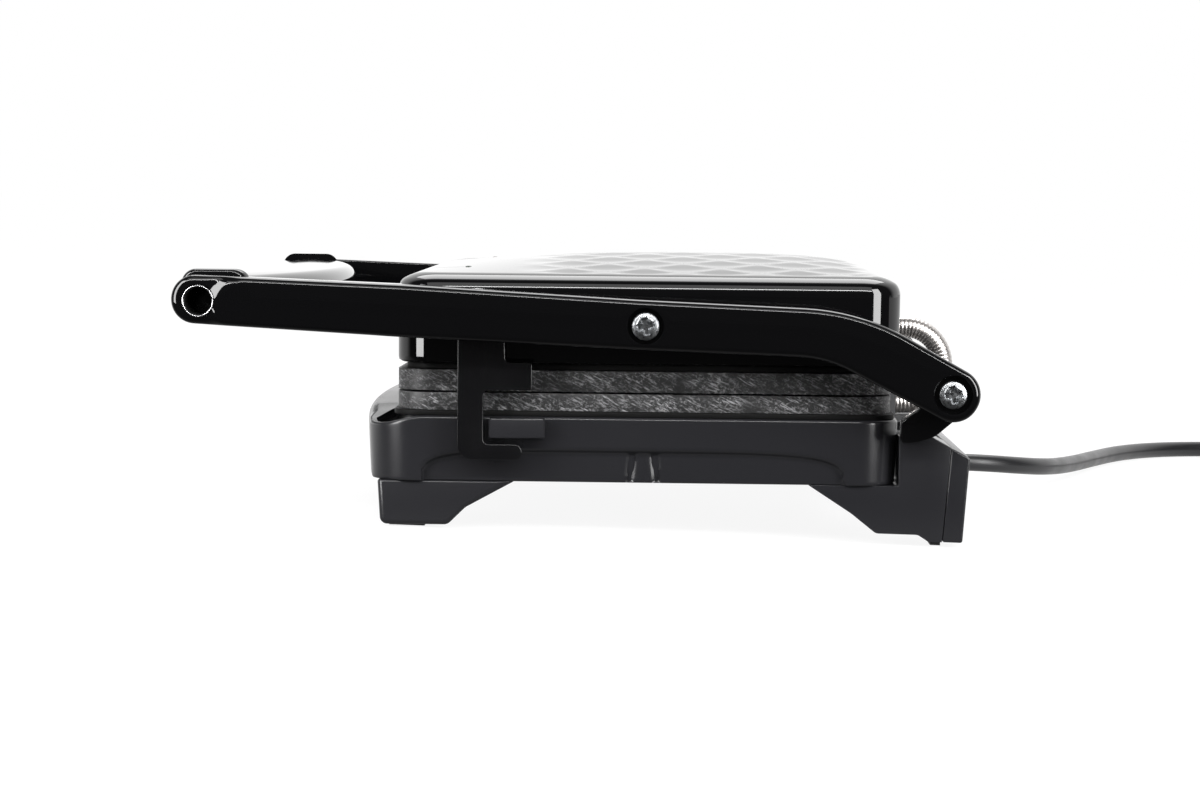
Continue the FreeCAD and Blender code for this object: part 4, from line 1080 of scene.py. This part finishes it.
def mains_cord():
    """The cord as one curve, from its gland through the coil to the plug."""
    points = CORD_ROUTE + coil_points() + CORD_TAIL
    curve = bpy.data.curves.new("mains_cord", "CURVE")
    curve.dimensions = "3D"
    curve.bevel_depth = CORD_RADIUS
    curve.bevel_resolution = 8
    curve.use_fill_caps = True
    spline = curve.splines.new("NURBS")
    spline.points.add(len(points) - 1)
    for point, place in zip(spline.points, points):
        point.co = (*place, 1)
    spline.order_u = 3
    spline.use_endpoint_u = True
    spline.resolution_u = 6
    curve.materials.append(PAINTS["cord_pvc"])
    cord = linked("mains_cord", curve)
    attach(cord, "base")
    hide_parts("cord", "cord_coil", "cord_tail")


mains_cord()


# ---------------------------------------------------------------- stage

FOCAL, SENSOR = 88.633, 36
CAMERA_LEVEL = Vector((1107.9, -0.5, 112.87))
CAMERA_YAW = math.radians(1.552)
CAMERA_PITCH = math.radians(3.988)
CAMERA_ROLL = math.radians(0.57)
FLOOR_HALF, FLOOR_Z = 12, -0.0004


def camera():
    """The camera stands beside the machine, in the level frame."""
    data = bpy.data.cameras.new("camera")
    data.lens = FOCAL
    data.sensor_width = SENSOR
    data.clip_start, data.clip_end = 0.05, 50
    view = linked("camera", data)
    turn = (
        Matrix.Rotation(math.pi / 2 + CAMERA_YAW, 4, "Z")
        @ Matrix.Rotation(math.pi / 2 - CAMERA_PITCH, 4, "X")
        @ Matrix.Rotation(CAMERA_ROLL, 4, "Z")
    )
    lean = Matrix.Rotation(LEAN_ANGLE, 4, "X")
    view.matrix_world = Matrix.Translation(LEAN @ CAMERA_LEVEL) @ lean @ turn
    SCENE.camera = view


def stage_material():
    """A pale floor: white to the camera. To other rays it falls off to dark in front of the object."""
    material = bpy.data.materials.new("floor_pale")
    material.use_nodes = True
    nodes, links = material.node_tree.nodes, material.node_tree.links
    nodes.clear()
    out = nodes.new("ShaderNodeOutputMaterial")
    diffuse = nodes.new("ShaderNodeBsdfDiffuse")
    glow = set_inputs(nodes.new("ShaderNodeEmission"), Strength=1.0)
    path = nodes.new("ShaderNodeLightPath")
    place = nodes.new("ShaderNodeNewGeometry")
    split = nodes.new("ShaderNodeSeparateXYZ")
    links.new(place.outputs["Position"], split.inputs["Vector"])
    fade = map_range(nodes, links, split.outputs["X"], -0.05, 0.2, 0.85, 0.03, "SMOOTHSTEP")
    dim = nodes.new("ShaderNodeMix")
    dim.data_type = "RGBA"
    links.new(path.outputs["Is Camera Ray"], dim.inputs["Factor"])
    links.new(fade, dim.inputs["A"])
    dim.inputs["B"].default_value = (1, 1, 1, 1)
    links.new(dim.outputs["Result"], glow.inputs["Color"])
    links.new(dim.outputs["Result"], diffuse.inputs["Color"])
    mix = set_inputs(nodes.new("ShaderNodeMixShader"), Fac=0.1)
    links.new(glow.outputs["Emission"], mix.inputs[1])
    links.new(diffuse.outputs["BSDF"], mix.inputs[2])
    links.new(mix.outputs["Shader"], out.inputs["Surface"])
    return material


def floor():
    """A wide flat floor, just under the feet."""
    mesh = bpy.data.meshes.new("floor")
    a = FLOOR_HALF
    mesh.from_pydata([(-a, -a, 0), (a, -a, 0), (a, a, 0), (-a, a, 0)], [], [(0, 1, 2, 3)])
    mesh.materials.append(stage_material())
    plane = linked("floor", mesh)
    plane.location.z = FLOOR_Z


def world():
    """White to the camera. In reflections the far side is white and the near side dark, as by a flag."""
    SCENE.world = bpy.data.worlds.new("studio")
    SCENE.world.use_nodes = True
    nodes, links = SCENE.world.node_tree.nodes, SCENE.world.node_tree.links
    sky = nodes["Background"]
    place = nodes.new("ShaderNodeTexCoord")
    split = nodes.new("ShaderNodeSeparateXYZ")
    links.new(place.outputs["Generated"], split.inputs["Vector"])
    side = map_range(nodes, links, split.outputs["X"], -0.45, -0.08, 1.25, 0.04, "SMOOTHSTEP")
    path = nodes.new("ShaderNodeLightPath")
    mix = nodes.new("ShaderNodeMix")
    mix.data_type = "RGBA"
    mix.inputs["A"].default_value = (1, 1, 1, 1)
    links.new(side, mix.inputs["B"])
    links.new(path.outputs["Is Glossy Ray"], mix.inputs["Factor"])
    links.new(mix.outputs["Result"], sky.inputs["Color"])
    sky.inputs["Strength"].default_value = 1.0


def softbox(name, place, target, width, height, power):
    """A rectangular lamp that faces a target and that the camera doesn't see."""
    data = bpy.data.lights.new(name, "AREA")
    data.shape = "RECTANGLE"
    data.size, data.size_y = width, height
    data.energy = power
    light = linked(name, data)
    aim = Vector(target) - Vector(place)
    light.matrix_world = Matrix.Translation(place) @ aim.to_track_quat("-Z", "Y").to_matrix().to_4x4()
    light.visible_camera = False


def lights():
    """Two broad lamps above, and three strips that draw the bright edges."""
    softbox("back_top", (-0.8, 0.0, 1.3), (0.0, 0.0, 0.05), 1.2, 0.8, 12)
    softbox("front_top", (1.2, 0.0, 1.2), (0.1, 0.0, 0.05), 1.8, 1.0, 9)
    softbox("edge_strip", (1.12, 0.0, 0.77), (0.14, 0.0, 0.07), 1.7, 0.045, 10)
    softbox("front_strip", (0.46, -0.5, 0.25), (0.12, -0.09, 0.25), 0.22, 0.52, 5)
    softbox("rear_strip", (0.66, 0.74, 0.4), (0.12, 0.05, 0.4), 0.32, 0.84, 12)


camera()
floor()
world()
lights()
SCENE.view_settings.view_transform = "Standard"
SCENE.view_settings.look = "None"
